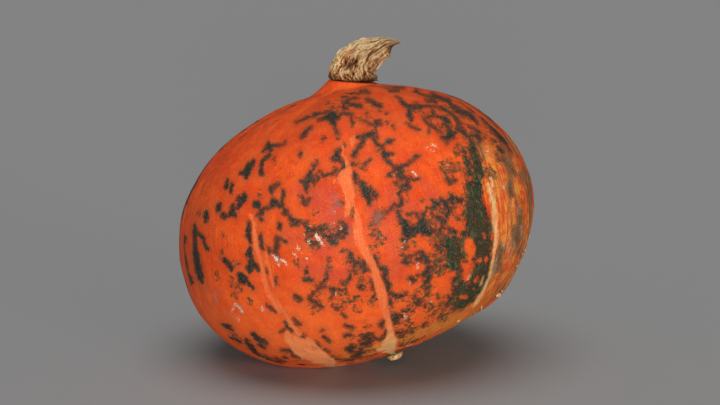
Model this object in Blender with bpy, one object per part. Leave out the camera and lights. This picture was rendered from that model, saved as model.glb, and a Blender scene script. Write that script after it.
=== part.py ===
"""A round winter squash with its dry corky stem, leaning over on the flat spot that it rests on.

The fruit is one closed solid. Its surface is laid out by polar angle from the stem and by longitude
about the axis that runs from the stem to the blossom end, then the whole fruit leans over and is
flattened where it lies. Longitude 0 faces -Y and longitude 90 faces +X. The stem is a second solid
that stands on the fruit's flat seat, with a hair's gap.

Metres, +Z up, with the origin in the middle of the flat spot that the fruit rests on.
"""

import math
from typing import NamedTuple

import bmesh
import bpy
import numpy as np
from mathutils import Matrix

# The fruit's main sizes
EQUATOR_RADIUS = 0.102
TOP_HEIGHT = 0.0798
BOTTOM_HEIGHT = 0.0741
ROUNDNESS = 2.15

# The stem and the blossom grew off the middle, as shares of the fruit's size in X and Y
STEM_DRIFT = (0.295, 0.0)
BLOSSOM_DRIFT = (0.0, -0.25)
DRIFT_POWER = 2.0

# How the fruit lies: its stem leans to -X and slightly to +Y
LEAN_SIDE = 17.7
LEAN_BACK = 6.0

# The ten furrows, as longitudes in degrees, with ribs between them. Each is deeper again in a stretch
# beside the stem, which has a polar angle and a spread.
FURROWS = (-35.0, -1.0, 50.0, 84.0, 119.0, 153.0, 187.0, 222.0, 256.0, 290.0)
FURROW_DEPTH = 0.0009
FURROW_SHARPNESS = 0.75
STEM_FURROW_DEPTH = 0.0008
STEM_FURROW_ANGLE = 24.0
STEM_FURROW_SPREAD = 13.0

# The flat seat that the stem stands on, and the collar that slopes down from it to the rind
SEAT_LIFT = 0.0026
SEAT_RADIUS = 0.0134
SEAT_LEAN_SIDE = 4.0
SEAT_LEAN_BACK = 3.0
COLLAR_SLOPE = 48.0
COLLAR_BLEND = 0.0022

# The button that the blossom left, in the shallow dimple at the lower end
BUTTON_HEIGHT = 0.0062
BUTTON_RADIUS = 0.0042
BUTTON_STEEPNESS = 6.0
DIMPLE_DEPTH = 0.0022
DIMPLE_RADIUS = 0.013

# The flat spot
FLAT_DEPTH = 0.0052
FLAT_BLEND = 0.0006

# The mesh: meridians between two furrows, rings from pole to pole, and how the rings crowd there
MERIDIANS_PER_RIB = 8
RINGS = 44
RING_CROWDING = 0.58


class Swelling(NamedTuple):
    """A broad bump or hollow, at a bearing clockwise from straight up as seen from -Y, a little above."""

    bearing: float
    height: float
    width: float


SWELLING_TILT = 10.5
SWELLINGS = (
    Swelling(bearing=22.0, height=-0.0018, width=12.0),
    Swelling(bearing=72.0, height=0.0024, width=16.0),
    Swelling(bearing=115.0, height=0.0034, width=12.0),
    Swelling(bearing=147.0, height=-0.0030, width=16.0),
    Swelling(bearing=208.0, height=0.0015, width=18.0),
)


class Station(NamedTuple):
    """One ring of the stem: its middle, half its width, and its share of the ridges' height."""

    x: float
    z: float
    radius: float
    ridges: float


# The stem's middle line, from its seat to the tip, in X and Z from the seat's middle
STEM_STATIONS = (
    Station(x=0.0000, z=0.0000, radius=0.0122, ridges=0.5),
    Station(x=0.0001, z=0.0020, radius=0.0136, ridges=0.9),
    Station(x=0.0006, z=0.0054, radius=0.0132, ridges=1.0),
    Station(x=0.0018, z=0.0096, radius=0.0118, ridges=1.0),
    Station(x=0.0046, z=0.0132, radius=0.0104, ridges=1.0),
    Station(x=0.0086, z=0.0164, radius=0.0092, ridges=1.0),
    Station(x=0.0136, z=0.0192, radius=0.0070, ridges=1.0),
    Station(x=0.0180, z=0.0217, radius=0.0044, ridges=0.9),
    Station(x=0.0216, z=0.0233, radius=0.0024, ridges=0.7),
    Station(x=0.0252, z=0.0241, radius=0.0009, ridges=0.3),
)
STEM_DEPTH_SHARE = 0.86
STEM_RIDGES = 12
STEM_RIDGE_HEIGHT = 0.14
STEM_TWIST = 40.0
STEM_SIDES = 48
STEM_RINGS = 24
STEM_GAP = 0.0003


def turn_x(degrees: float) -> np.ndarray:
    """Rotation about X."""
    return np.array(Matrix.Rotation(math.radians(degrees), 3, "X"))


def turn_y(degrees: float) -> np.ndarray:
    """Rotation about Y."""
    return np.array(Matrix.Rotation(math.radians(degrees), 3, "Y"))


LEAN = turn_x(-LEAN_BACK) @ turn_y(-LEAN_SIDE)


def directions(polar: np.ndarray, longitude: np.ndarray) -> np.ndarray:
    """Unit directions from the fruit's middle, with both poles moved to where they grew."""
    near_stem = ((1.0 + np.cos(polar)) / 2.0) ** DRIFT_POWER
    near_blossom = ((1.0 - np.cos(polar)) / 2.0) ** DRIFT_POWER
    x = np.sin(polar) * np.sin(longitude) + STEM_DRIFT[0] * near_stem + BLOSSOM_DRIFT[0] * near_blossom
    y = -np.sin(polar) * np.cos(longitude) + STEM_DRIFT[1] * near_stem + BLOSSOM_DRIFT[1] * near_blossom
    toward = np.stack([x, y, np.cos(polar)], axis=-1)
    return toward / np.linalg.norm(toward, axis=-1, keepdims=True)


def plain_radius(toward: np.ndarray) -> np.ndarray:
    """Distance from the middle to the smooth body, a superellipsoid with two unlike halves."""
    height = np.where(toward[..., 2] > 0.0, TOP_HEIGHT, BOTTOM_HEIGHT)
    sideways = np.hypot(toward[..., 0], toward[..., 1]) / EQUATOR_RADIUS
    upright = np.abs(toward[..., 2]) / height
    return (sideways**ROUNDNESS + upright**ROUNDNESS) ** (-1.0 / ROUNDNESS)


def rib_share(longitude: np.ndarray) -> np.ndarray:
    """0 in the furrows and 1 along the crest of each rib."""
    edges = np.radians(np.array([*FURROWS, FURROWS[0] + 360.0]))
    wrapped = (longitude - edges[0]) % (2.0 * math.pi) + edges[0]
    place = np.interp(wrapped, edges, np.arange(len(edges)))
    return np.sin(math.pi * (place % 1.0)) ** FURROW_SHARPNESS


def furrows(polar: np.ndarray, longitude: np.ndarray) -> np.ndarray:
    """Relief of the furrows, which are deepest beside the stem and fade out at both poles."""
    beside_stem = np.exp(-(((np.degrees(polar) - STEM_FURROW_ANGLE) / STEM_FURROW_SPREAD) ** 2))
    depth = FURROW_DEPTH * np.sin(polar) + STEM_FURROW_DEPTH * beside_stem
    return -depth * (1.0 - rib_share(longitude))


def swellings(toward: np.ndarray) -> np.ndarray:
    """Height of the broad bumps and hollows of an unevenly grown fruit."""
    height = np.zeros(toward.shape[:-1])
    for swelling in SWELLINGS:
        bearing = math.radians(swelling.bearing)
        peak = turn_x(-SWELLING_TILT) @ np.array([math.sin(bearing), 0.0, math.cos(bearing)]) @ LEAN
        angle = np.degrees(np.arccos(np.clip(toward @ peak, -1.0, 1.0)))
        height += swelling.height * np.exp(-((angle / swelling.width) ** 2))
    return height


def soft_floor(height: np.ndarray, floor: np.ndarray | float, blend: float) -> np.ndarray:
    """Raise all that is under a floor to it exactly, with a rounded edge of the blend's size."""
    over = height - floor
    rounded = floor + (over + blend) ** 2 / (4.0 * blend)
    return np.where(over > blend, height, np.where(over < -blend, floor, rounded))


def seat_frame() -> tuple[np.ndarray, np.ndarray]:
    """Middle of the stem's seat and its three axes, as the fruit lies but about its own middle."""
    pole = directions(np.zeros(1), np.zeros(1))
    axes = turn_x(-SEAT_LEAN_BACK) @ turn_y(SEAT_LEAN_SIDE)
    middle = (pole * plain_radius(pole)[:, None])[0] @ LEAN.T
    return middle + axes[:, 2] * SEAT_LIFT, axes


def add_collar(points: np.ndarray) -> np.ndarray:
    """Raise the rind round the stem into a sloping collar with a flat top, the stem's seat."""
    middle, axes = seat_frame()
    over = (points - middle) @ axes[:, 2]
    across = np.hypot((points - middle) @ axes[:, 0], (points - middle) @ axes[:, 1])
    slope = -math.tan(math.radians(COLLAR_SLOPE)) * np.maximum(across - SEAT_RADIUS, 0.0)
    raised = np.where(across < SEAT_RADIUS, 0.0, np.minimum(soft_floor(over, slope, COLLAR_BLEND), 0.0))
    upper_half = points[..., 2] > 0.0
    return points + axes[:, 2] * ((raised - over) * upper_half)[..., None]


def add_button(points: np.ndarray) -> np.ndarray:
    """Raise the blossom's button in a shallow dimple at the lower pole."""
    pole = directions(np.full(1, math.pi), np.zeros(1))[0]
    away = np.linalg.norm(np.cross(points, pole), axis=-1)
    button = BUTTON_HEIGHT / (1.0 + (away / BUTTON_RADIUS) ** BUTTON_STEEPNESS)
    dimple = DIMPLE_DEPTH * np.exp(-((away / DIMPLE_RADIUS) ** 2))
    return points + pole * ((button - dimple) * (points @ pole > 0.0))[..., None]


def fruit_points(polar: np.ndarray, longitude: np.ndarray) -> np.ndarray:
    """Points of the fruit's surface as it lies, about its own middle, before it is flattened."""
    toward = directions(polar, longitude)
    relief = plain_radius(toward) + furrows(polar, longitude) + swellings(toward)
    return add_collar(add_button(toward * relief[..., None]) @ LEAN.T)


def ring_angles(polar: np.ndarray) -> np.ndarray:
    """Crowd evenly spaced polar angles towards both poles."""
    return polar - 0.5 * RING_CROWDING * np.sin(2.0 * polar)


def meridian_angles(turn: np.ndarray) -> np.ndarray:
    """Spread evenly spaced turns so that every furrow lies on a meridian."""
    edges = np.radians(np.array([*FURROWS, FURROWS[0] + 360.0]))
    return np.interp(turn % 1.0, np.linspace(0.0, 1.0, len(edges)), edges)


def new_material(name: str, colour: tuple[float, float, float], roughness: float) -> bpy.types.Material:
    """A plain Principled material."""
    material = bpy.data.materials.new(name)
    material.use_nodes = True
    shader = material.node_tree.nodes["Principled BSDF"]
    shader.inputs["Base Color"].default_value = (*colour, 1.0)
    shader.inputs["Roughness"].default_value = roughness
    shader.inputs["Metallic"].default_value = 0.0
    return material


def add_object(name: str, bm: bmesh.types.BMesh, material: bpy.types.Material) -> bpy.types.Object:
    """Turn a bmesh into a smooth-shaded object in the scene."""
    bmesh.ops.recalc_face_normals(bm, faces=bm.faces)
    mesh = bpy.data.meshes.new(name)
    bm.to_mesh(mesh)
    bm.free()
    mesh.materials.append(material)
    mesh.shade_smooth()
    mesh.set_sharp_from_angle(angle=math.radians(50.0))
    piece = bpy.data.objects.new(name, mesh)
    bpy.context.scene.collection.objects.link(piece)
    return piece


def flat_spot() -> np.ndarray:
    """Middle of the flat spot, about the fruit's own middle."""
    polar, longitude = np.meshgrid(np.linspace(0.0, math.pi, 361), np.linspace(0.0, 2.0 * math.pi, 720))
    points = fruit_points(polar, longitude).reshape(-1, 3)
    level = points[:, 2].min() + FLAT_DEPTH
    pressed = points[points[:, 2] < level - FLAT_BLEND]
    return np.array([*(pressed.min(axis=0) + pressed.max(axis=0))[:2] / 2.0, level])


def build_fruit(ground: np.ndarray) -> bpy.types.Object:
    """The fruit, shaped from a sphere whose poles become the stem's seat and the blossom end."""
    bm = bmesh.new()
    meridians = MERIDIANS_PER_RIB * len(FURROWS)
    bmesh.ops.create_uvsphere(bm, u_segments=meridians, v_segments=RINGS, radius=1.0)
    unit = np.array([vertex.co for vertex in bm.verts])
    polar = ring_angles(np.arccos(np.clip(unit[:, 2], -1.0, 1.0)))
    turn = np.arctan2(unit[:, 0], -unit[:, 1]) / (2.0 * math.pi)
    points = fruit_points(polar, meridian_angles(np.round(turn * meridians) / meridians)) - ground
    points[:, 2] = soft_floor(points[:, 2], 0.0, FLAT_BLEND)
    for vertex, point in zip(bm.verts, points):
        vertex.co = point
    rind = new_material("rind", (0.76, 0.10, 0.012), 0.42)
    return add_object("fruit", bm, rind)


def stem_stations() -> np.ndarray:
    """The stem's rings, spaced evenly in station number and read from a smooth curve."""
    stations = np.array(STEM_STATIONS)
    last_start = len(stations) - 2
    wanted = np.linspace(0.0, len(stations) - 1, STEM_RINGS)
    padded = np.vstack([2 * stations[0] - stations[1], stations, 2 * stations[-1] - stations[-2]])
    rings = np.empty((STEM_RINGS, stations.shape[1]))
    for ring, place in enumerate(wanted):
        start = min(int(place), last_start)
        share = place - start
        before, first, second, after = padded[start : start + 4]
        rings[ring] = 0.5 * (
            2.0 * first
            + (second - before) * share
            + (2.0 * before - 5.0 * first + 4.0 * second - after) * share**2
            + (3.0 * first - before - 3.0 * second + after) * share**3
        )
    return rings


def build_stem(ground: np.ndarray) -> bpy.types.Object:
    """The dry stem: ridged rings bridged from the flat foot to the beak-like tip."""
    rings = stem_stations()
    headings = np.gradient(rings[:, :2], axis=0)
    headings /= np.linalg.norm(headings, axis=1, keepdims=True)
    headings[0] = (0.0, 1.0)
    around = np.linspace(0.0, 2.0 * math.pi, STEM_SIDES, endpoint=False)
    middle, axes = seat_frame()
    bm = bmesh.new()
    loops = []
    for ring, (station, heading) in enumerate(zip(rings, headings)):
        twist = math.radians(STEM_TWIST) * ring / (STEM_RINGS - 1)
        ridge = np.abs(np.sin(0.5 * STEM_RIDGES * (around + twist)))
        radius = station[2] * (1.0 + STEM_RIDGE_HEIGHT * station[3] * (ridge - 2.0 / math.pi))
        side = np.array([heading[1], 0.0, -heading[0]])
        sideways = np.outer(radius * np.sin(around), side)
        backward = np.outer(-radius * np.cos(around) * STEM_DEPTH_SHARE, (0.0, 1.0, 0.0))
        points = np.array([station[0], 0.0, station[1]]) + sideways + backward
        points = points @ axes.T + middle + axes[:, 2] * STEM_GAP - ground
        loops.append([bm.verts.new(point) for point in points])
    for lower, upper in zip(loops, loops[1:]):
        for here in range(STEM_SIDES):
            after = (here + 1) % STEM_SIDES
            bm.faces.new((lower[here], lower[after], upper[after], upper[here]))
    bm.faces.new(reversed(loops[0]))
    bm.faces.new(loops[-1])
    cork = new_material("dry_stem", (0.50, 0.33, 0.17), 0.85)
    return add_object("stem", bm, cork)


def main() -> None:
    """Clear the scene and build both pieces."""
    for leftover in list(bpy.data.objects):
        bpy.data.objects.remove(leftover, do_unlink=True)
    ground = flat_spot()
    build_fruit(ground)
    build_stem(ground)


main()
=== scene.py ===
"""The looks of a round mottled squash with its dry corky stem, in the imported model's frame.

The rind and the stem are modelled again, finely, over the two plain solids that they stand for.
The rind's larger marks lie where the photograph shows them: each is given by pixels of the
photograph, and the camera's own rays carry it onto the fruit. What the photograph doesn't show goes
on in the same manner by formula.

Metres, +Z up, with the origin in the middle of the flat spot that the fruit rests on.
"""

import logging
import math
from dataclasses import dataclass
from enum import Enum
from typing import Callable, NamedTuple

import bpy
import numpy as np
from mathutils import Matrix, Vector, noise


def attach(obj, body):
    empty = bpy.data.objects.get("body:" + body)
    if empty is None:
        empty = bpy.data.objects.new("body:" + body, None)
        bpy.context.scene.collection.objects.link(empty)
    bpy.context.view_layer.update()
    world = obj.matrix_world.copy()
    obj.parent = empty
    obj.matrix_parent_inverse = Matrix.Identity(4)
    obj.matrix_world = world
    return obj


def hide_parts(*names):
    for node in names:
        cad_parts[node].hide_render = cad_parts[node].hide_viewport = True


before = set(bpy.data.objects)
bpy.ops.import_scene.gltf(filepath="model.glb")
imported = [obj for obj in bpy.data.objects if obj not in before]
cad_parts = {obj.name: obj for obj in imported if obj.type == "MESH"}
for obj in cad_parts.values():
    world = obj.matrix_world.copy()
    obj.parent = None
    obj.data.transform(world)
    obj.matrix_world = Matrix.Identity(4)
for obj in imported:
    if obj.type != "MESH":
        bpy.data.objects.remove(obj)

log = logging.getLogger("squash")

BODY = "root"
PIXEL_MM = 0.5736
MM_PER_METRE = 1000.0

Array = np.ndarray
Piece = bpy.types.Object
Node = bpy.types.Node
Socket = bpy.types.NodeSocket
Colour = tuple[float, float, float]


class Slot(Enum):
    """The record's material slots."""

    RIND = "rind"
    DRY_STEM = "dry_stem"


def srgb(red: float, green: float, blue: float) -> Colour:
    """A display colour, 0 to 255, as the linear colour that a shader takes."""
    shares = [channel / 255.0 for channel in (red, green, blue)]
    return tuple(s / 12.92 if s <= 0.04045 else ((s + 0.055) / 1.055) ** 2.4 for s in shares)


def turn_x(degrees: float) -> Array:
    """Rotation about X."""
    return np.array(Matrix.Rotation(math.radians(degrees), 3, "X"))


def turn_y(degrees: float) -> Array:
    """Rotation about Y."""
    return np.array(Matrix.Rotation(math.radians(degrees), 3, "Y"))


def soft_step(value: Array, low: float, high: float) -> Array:
    """0 under low, 1 over high, and a smooth S between them."""
    share = np.clip((value - low) / (high - low), 0.0, 1.0)
    return share * share * (3.0 - 2.0 * share)


def soft_floor(height: Array, floor: Array | float, blend: float) -> Array:
    """Raise all that is under a floor to it exactly, with a rounded edge of the blend's size."""
    over = height - floor
    rounded = floor + (over + blend) ** 2 / (4.0 * blend)
    return np.where(over > blend, height, np.where(over < -blend, floor, rounded))


def rough_noise(places: Array, octaves: int, seed: float) -> Array:
    """Fractal noise of about -1 to 1 at each place.

    Args:
        places: Points, one a row, in units of the noise's own size.
        octaves: How many finer layers are added.
        seed: Moves the noise, so that two calls differ.

    Returns:
        One value for each row.
    """
    offset = Vector((seed, -seed, 2.0 * seed))
    return np.array([noise.fractal(Vector(place) + offset, 0.75, 2.1, octaves) for place in places])


@dataclass(frozen=True)
class PhotoView:
    """The camera that took the photograph, in the row frame, and its picture's size."""

    position: tuple[float, float, float] = (0.02434765, -1.01743236, 0.27681359)
    pitch_down: float = 10.5
    focal_pixels: float = 1800.0
    width: int = 720
    height: int = 405
    sensor_mm: float = 36.0

    def build(self) -> bpy.types.Object:
        """Add the camera to the scene and make it the scene's own.

        Returns:
            The camera object.
        """
        bpy.ops.object.camera_add(
            location=self.position, rotation=(math.radians(90.0 - self.pitch_down), 0.0, 0.0)
        )
        camera = bpy.context.object
        camera.name = "photo_camera"
        camera.data.sensor_fit = "HORIZONTAL"
        camera.data.sensor_width = self.sensor_mm
        camera.data.lens = self.focal_pixels * self.sensor_mm / self.width
        camera.data.clip_start = 0.01
        camera.data.clip_end = 60.0
        camera.data.dof.use_dof = False
        bpy.context.scene.camera = camera
        return camera

    def pixels(self, points: Array) -> Array:
        """Where the camera sees points.

        Args:
            points: Points in the row frame, one a row.

        Returns:
            The pixels u, from the left edge, and v, from the top edge, one pair a row.
        """
        pitch = math.radians(self.pitch_down)
        away = points - np.array(self.position)
        depth = away @ np.array((0.0, math.cos(pitch), -math.sin(pitch)))
        rise = away @ np.array((0.0, math.sin(pitch), math.cos(pitch)))
        across = self.width / 2.0 + self.focal_pixels * away[:, 0] / depth
        down = self.height / 2.0 - self.focal_pixels * rise / depth
        return np.column_stack([across, down])

    def facing(self, points: Array, normals: Array) -> Array:
        """How squarely each point of a surface faces the camera: 1 square on, 0 at the outline."""
        toward = np.array(self.position) - points
        toward /= np.linalg.norm(toward, axis=1, keepdims=True)
        return np.sum(toward * normals, axis=1)


def maths(operation: str, swapped: bool = False) -> Callable[["Signal", "Signal | float"], "Signal"]:
    """Make a method of Signal that adds one Math node.

    Args:
        operation: The node's operation.
        swapped: Put the other value first.

    Returns:
        The method.
    """

    def method(self: "Signal", other: "Signal | float") -> "Signal":
        """Work the signal and the other value into a new signal."""
        values = (other, self) if swapped else (self, other)
        node = self.graph.node("ShaderNodeMath", {"operation": operation}, dict(enumerate(values)))
        return Signal(self.graph, node.outputs[0])

    return method


class Signal:
    """A number that changes over a surface: an output socket whose arithmetic adds Math nodes."""

    def __init__(self, graph: "Graph", socket: Socket) -> None:
        """Wrap one output socket of a graph."""
        self.graph = graph
        self.socket = socket

    __add__ = __radd__ = maths("ADD")
    __sub__ = maths("SUBTRACT")
    __rsub__ = maths("SUBTRACT", swapped=True)
    __mul__ = __rmul__ = maths("MULTIPLY")
    above = maths("MAXIMUM")
    below = maths("MINIMUM")

    def step(self, low: float, high: float) -> "Signal":
        """0 under low, 1 over high, and a smooth S between them."""
        settings, inputs = {"interpolation_type": "SMOOTHSTEP"}, {0: self, 1: low, 2: high, 3: 0.0, 4: 1.0}
        return Signal(self.graph, self.graph.node("ShaderNodeMapRange", settings, inputs).outputs[0])

    def fall(self, low: float, high: float) -> "Signal":
        """1 under low, 0 over high, and a smooth S between them."""
        return 1.0 - self.step(low, high)

    def mixed(self, share: float, other: "Signal") -> "Signal":
        """A share of this signal, and the rest of the other."""
        return self * share + other * (1.0 - share)


Value = Signal | Socket | float | tuple


class Graph:
    """One material's nodes, with its Principled shader."""

    def __init__(self, name: str, specular: float = 0.5, roughness: float = 0.5) -> None:
        """Start a material with constants for its shader.

        Args:
            name: The material's name.
            specular: The shader's specular level.
            roughness: Its roughness, unless a signal is linked later.
        """
        self.material = bpy.data.materials.new(name)
        self.material.use_nodes = True
        self.tree = self.material.node_tree
        self.shader = self.tree.nodes["Principled BSDF"]
        self.shader.inputs["Specular IOR Level"].default_value = specular
        self.shader.inputs["Roughness"].default_value = roughness

    def node(self, kind: str, settings: dict | None = None, inputs: dict | None = None) -> Node:
        """Add a node.

        Args:
            kind: The node's type name.
            settings: Its properties, set first.
            inputs: Values or links of its input sockets, by name or number.

        Returns:
            The node.
        """
        made = self.tree.nodes.new(kind)
        for key, setting in (settings or {}).items():
            setattr(made, key, setting)
        for key, value in (inputs or {}).items():
            self.feed(made.inputs[key], value)
        return made

    def feed(self, socket: Socket, value: Value) -> None:
        """Set an input socket to a value, or link it to an output.

        Args:
            socket: The input.
            value: The value, where a tuple for a colour is its three shares.
        """
        if isinstance(value, Signal):
            self.tree.links.new(value.socket, socket)
        elif isinstance(value, Socket):
            self.tree.links.new(value, socket)
        elif isinstance(value, tuple) and socket.type == "RGBA":
            socket.default_value = (*value[:3], 1.0)
        else:
            socket.default_value = value

    def _attribute(self, name: str) -> Node:
        """Read an attribute of the piece."""
        return self.node("ShaderNodeAttribute", {"attribute_type": "GEOMETRY", "attribute_name": name})

    def number(self, name: str) -> Signal:
        """A float attribute of the piece."""
        return Signal(self, self._attribute(name).outputs["Fac"])

    def vector(self, name: str) -> Socket:
        """A vector attribute of the piece."""
        return self._attribute(name).outputs["Vector"]

    def place(self) -> Socket:
        """The Object coordinates, which are the row frame's metres."""
        return self.node("ShaderNodeTexCoord").outputs["Object"]

    def axis(self, vector: Socket, name: str) -> Signal:
        """One of a vector's three numbers: X, Y or Z."""
        return Signal(self, self.node("ShaderNodeSeparateXYZ", {}, {0: vector}).outputs[name])

    def stretch(self, vector: Socket, scale: tuple, shift: tuple = (0.0, 0.0, 0.0)) -> Socket:
        """Scale a vector by three numbers, then move it."""
        inputs = {0: vector, 1: scale, 2: shift}
        return self.node("ShaderNodeVectorMath", {"operation": "MULTIPLY_ADD"}, inputs).outputs[0]

    def noise(self, vector: Socket, scale: float, detail: float, roughness: float) -> Node:
        """Add a noise texture."""
        inputs = {"Vector": vector, "Scale": scale, "Detail": detail, "Roughness": roughness}
        return self.node("ShaderNodeTexNoise", {"noise_dimensions": "3D"}, inputs)

    def cloud(self, vector: Socket, scale: float, detail: float = 2.0, roughness: float = 0.5) -> Signal:
        """Noise of 0 to 1, mostly near a half."""
        return Signal(self, self.noise(vector, scale, detail, roughness).outputs["Fac"])

    def walls(self, vector: Socket, scale: float) -> Signal:
        """Distance to the nearest wall of a net of cells, in cells' sizes."""
        inputs = {"Vector": vector, "Scale": scale}
        made = self.node("ShaderNodeTexVoronoi", {"feature": "DISTANCE_TO_EDGE"}, inputs)
        return Signal(self, made.outputs["Distance"])

    def warp(self, vector: Socket, scale: float, reach: float) -> Socket:
        """Push a vector about by noise, by up to about half the reach."""
        push = self.noise(vector, scale, 1.0, 0.5).outputs["Color"]
        moved = self.stretch(push, (reach, reach, reach), (-0.5 * reach, -0.5 * reach, -0.5 * reach))
        return self.node("ShaderNodeVectorMath", {"operation": "ADD"}, {0: vector, 1: moved}).outputs[0]

    def blend(self, share: Signal | float, first: Value, second: Value) -> Socket:
        """Mix two colours by a share of 0 to 1."""
        settings, inputs = {"data_type": "RGBA", "clamp_factor": True}, {0: share, 6: first, 7: second}
        return self.node("ShaderNodeMix", settings, inputs).outputs[2]

    def colour(self, value: Value) -> None:
        """Link the shader's base colour."""
        self.feed(self.shader.inputs["Base Color"], value)

    def roughness(self, value: Value) -> None:
        """Link or set the shader's roughness."""
        self.feed(self.shader.inputs["Roughness"], value)

    def relief(self, height: Signal, distance: float, strength: float = 1.0) -> None:
        """Link a height, in shares of a distance in metres, to the shader's normal."""
        inputs = {"Height": height, "Distance": distance, "Strength": strength}
        self.feed(self.shader.inputs["Normal"], self.node("ShaderNodeBump", {}, inputs).outputs["Normal"])


class Coats:
    """Colours that lie over one another, like coats of paint."""

    def __init__(self, graph: Graph, ground: Value) -> None:
        """Start with the lowest colour."""
        self.graph = graph
        self.top = ground

    def lay(self, share: Signal | float, colour: "Value | Coats") -> "Coats":
        """Lay a colour, or the top of other coats, over these.

        Args:
            share: How far it covers what is below, 0 to 1.
            colour: The colour.

        Returns:
            These coats.
        """
        over = colour.top if isinstance(colour, Coats) else colour
        self.top = self.graph.blend(share, self.top, over)
        return self


class Swelling(NamedTuple):
    """A broad bump or hollow, at a bearing clockwise from straight up, as seen from -Y."""

    bearing: float
    height: float
    width: float


@dataclass(frozen=True)
class FruitForm:
    """The fruit's shape, as the source of the solids lays it out.

    Polar angles run from the stem. Longitude 0 faces -Y and longitude 90 faces +X.
    """

    equator_radius: float = 0.102
    top_height: float = 0.0798
    bottom_height: float = 0.0741
    roundness: float = 2.15
    stem_drift: float = 0.295
    blossom_drift: float = -0.25
    drift_power: float = 2.0
    lean_side: float = 17.7
    lean_back: float = 6.0
    furrow_longitudes: tuple[float, ...] = (
        -35.0, -1.0, 50.0, 84.0, 119.0, 153.0, 187.0, 222.0, 256.0, 290.0,
    )
    furrow_depth: float = 0.0009
    furrow_sharpness: float = 0.75
    stem_furrow_depth: float = 0.0008
    stem_furrow_angle: float = 24.0
    stem_furrow_spread: float = 13.0
    seat_lift: float = 0.0026
    seat_radius: float = 0.0134
    seat_lean_side: float = 4.0
    seat_lean_back: float = 3.0
    collar_slope: float = 48.0
    collar_blend: float = 0.0022
    button_height: float = 0.0062
    button_radius: float = 0.0050
    button_steepness: float = 6.0
    dimple_depth: float = 0.0022
    dimple_radius: float = 0.013
    flat_depth: float = 0.0052
    flat_blend: float = 0.0006
    swelling_tilt: float = 10.5
    swellings: tuple[Swelling, ...] = (
        Swelling(22.0, -0.0018, 12.0),
        Swelling(72.0, 0.0024, 16.0),
        Swelling(115.0, 0.0034, 12.0),
        Swelling(147.0, -0.0030, 16.0),
        Swelling(208.0, 0.0015, 18.0),
    )

    def lean(self) -> Array:
        """The rotation by which the whole fruit leans over."""
        return turn_x(-self.lean_back) @ turn_y(-self.lean_side)

    def directions(self, unit: Array) -> Array:
        """Directions from the middle, with both poles moved to where they grew.

        Args:
            unit: Points of a unit sphere, one a row, with the stem at +Z.

        Returns:
            Unit vectors, one a row.
        """
        toward = unit.copy()
        toward[:, 0] += self.stem_drift * ((1.0 + unit[:, 2]) / 2.0) ** self.drift_power
        toward[:, 1] += self.blossom_drift * ((1.0 - unit[:, 2]) / 2.0) ** self.drift_power
        return toward / np.linalg.norm(toward, axis=1, keepdims=True)

    def plain_radius(self, toward: Array) -> Array:
        """Distance from the middle to the smooth body, a superellipsoid with two unlike halves.

        Args:
            toward: Directions from the middle, one a row.

        Returns:
            The distances.
        """
        height = np.where(toward[:, 2] > 0.0, self.top_height, self.bottom_height)
        sideways = np.hypot(toward[:, 0], toward[:, 1]) / self.equator_radius
        upright = np.abs(toward[:, 2]) / height
        return (sideways**self.roundness + upright**self.roundness) ** (-1.0 / self.roundness)

    def rib_place(self, longitude: Array) -> Array:
        """The number of the rib that a longitude lies on, with its share of the way across it."""
        edges = np.radians(np.array([*self.furrow_longitudes, self.furrow_longitudes[0] + 360.0]))
        wrapped = (longitude - edges[0]) % (2.0 * math.pi) + edges[0]
        return np.interp(wrapped, edges, np.arange(len(edges)))

    def furrows(self, polar: Array, longitude: Array) -> Array:
        """Relief of the furrows, which are deepest beside the stem and fade out at both poles.

        Args:
            polar: Angles from the stem.
            longitude: Angles round the fruit.

        Returns:
            The relief, in metres.
        """
        share = np.sin(math.pi * (self.rib_place(longitude) % 1.0)) ** self.furrow_sharpness
        off = (np.degrees(polar) - self.stem_furrow_angle) / self.stem_furrow_spread
        depth = self.furrow_depth * np.sin(polar) + self.stem_furrow_depth * np.exp(-(off**2))
        return -depth * (1.0 - share)

    def swelling_relief(self, toward: Array) -> Array:
        """Height of the broad bumps and hollows of an unevenly grown fruit.

        Args:
            toward: Directions from the middle, one a row.

        Returns:
            The height, in metres.
        """
        height = np.zeros(len(toward))
        for swelling in self.swellings:
            bearing = math.radians(swelling.bearing)
            upright = np.array([math.sin(bearing), 0.0, math.cos(bearing)])
            peak = turn_x(-self.swelling_tilt) @ upright @ self.lean()
            angle = np.degrees(np.arccos(np.clip(toward @ peak, -1.0, 1.0)))
            height += swelling.height * np.exp(-((angle / swelling.width) ** 2))
        return height

    def seat_frame(self) -> tuple[Array, Array]:
        """Where the stem stands.

        Returns:
            The middle of the stem's seat, about the fruit's own middle, and its three axes.
        """
        pole = self.directions(np.array([[0.0, 0.0, 1.0]]))
        axes = turn_x(-self.seat_lean_back) @ turn_y(self.seat_lean_side)
        middle = (pole * self.plain_radius(pole)[:, None])[0] @ self.lean().T
        return middle + axes[:, 2] * self.seat_lift, axes

    def add_collar(self, points: Array) -> Array:
        """Raise the rind round the stem into a sloping collar with a flat top, the stem's seat.

        Args:
            points: Points of the rind, one a row.

        Returns:
            The raised points.
        """
        middle, axes = self.seat_frame()
        over = (points - middle) @ axes[:, 2]
        across = np.hypot((points - middle) @ axes[:, 0], (points - middle) @ axes[:, 1])
        fall = math.tan(math.radians(self.collar_slope))
        slope = -fall * np.maximum(across - self.seat_radius, 0.0)
        low = np.minimum(soft_floor(over, slope, self.collar_blend), 0.0)
        raised = np.where(across < self.seat_radius, 0.0, low)
        upper_half = points[:, 2] > 0.0
        return points + axes[:, 2] * ((raised - over) * upper_half)[:, None]

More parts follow.
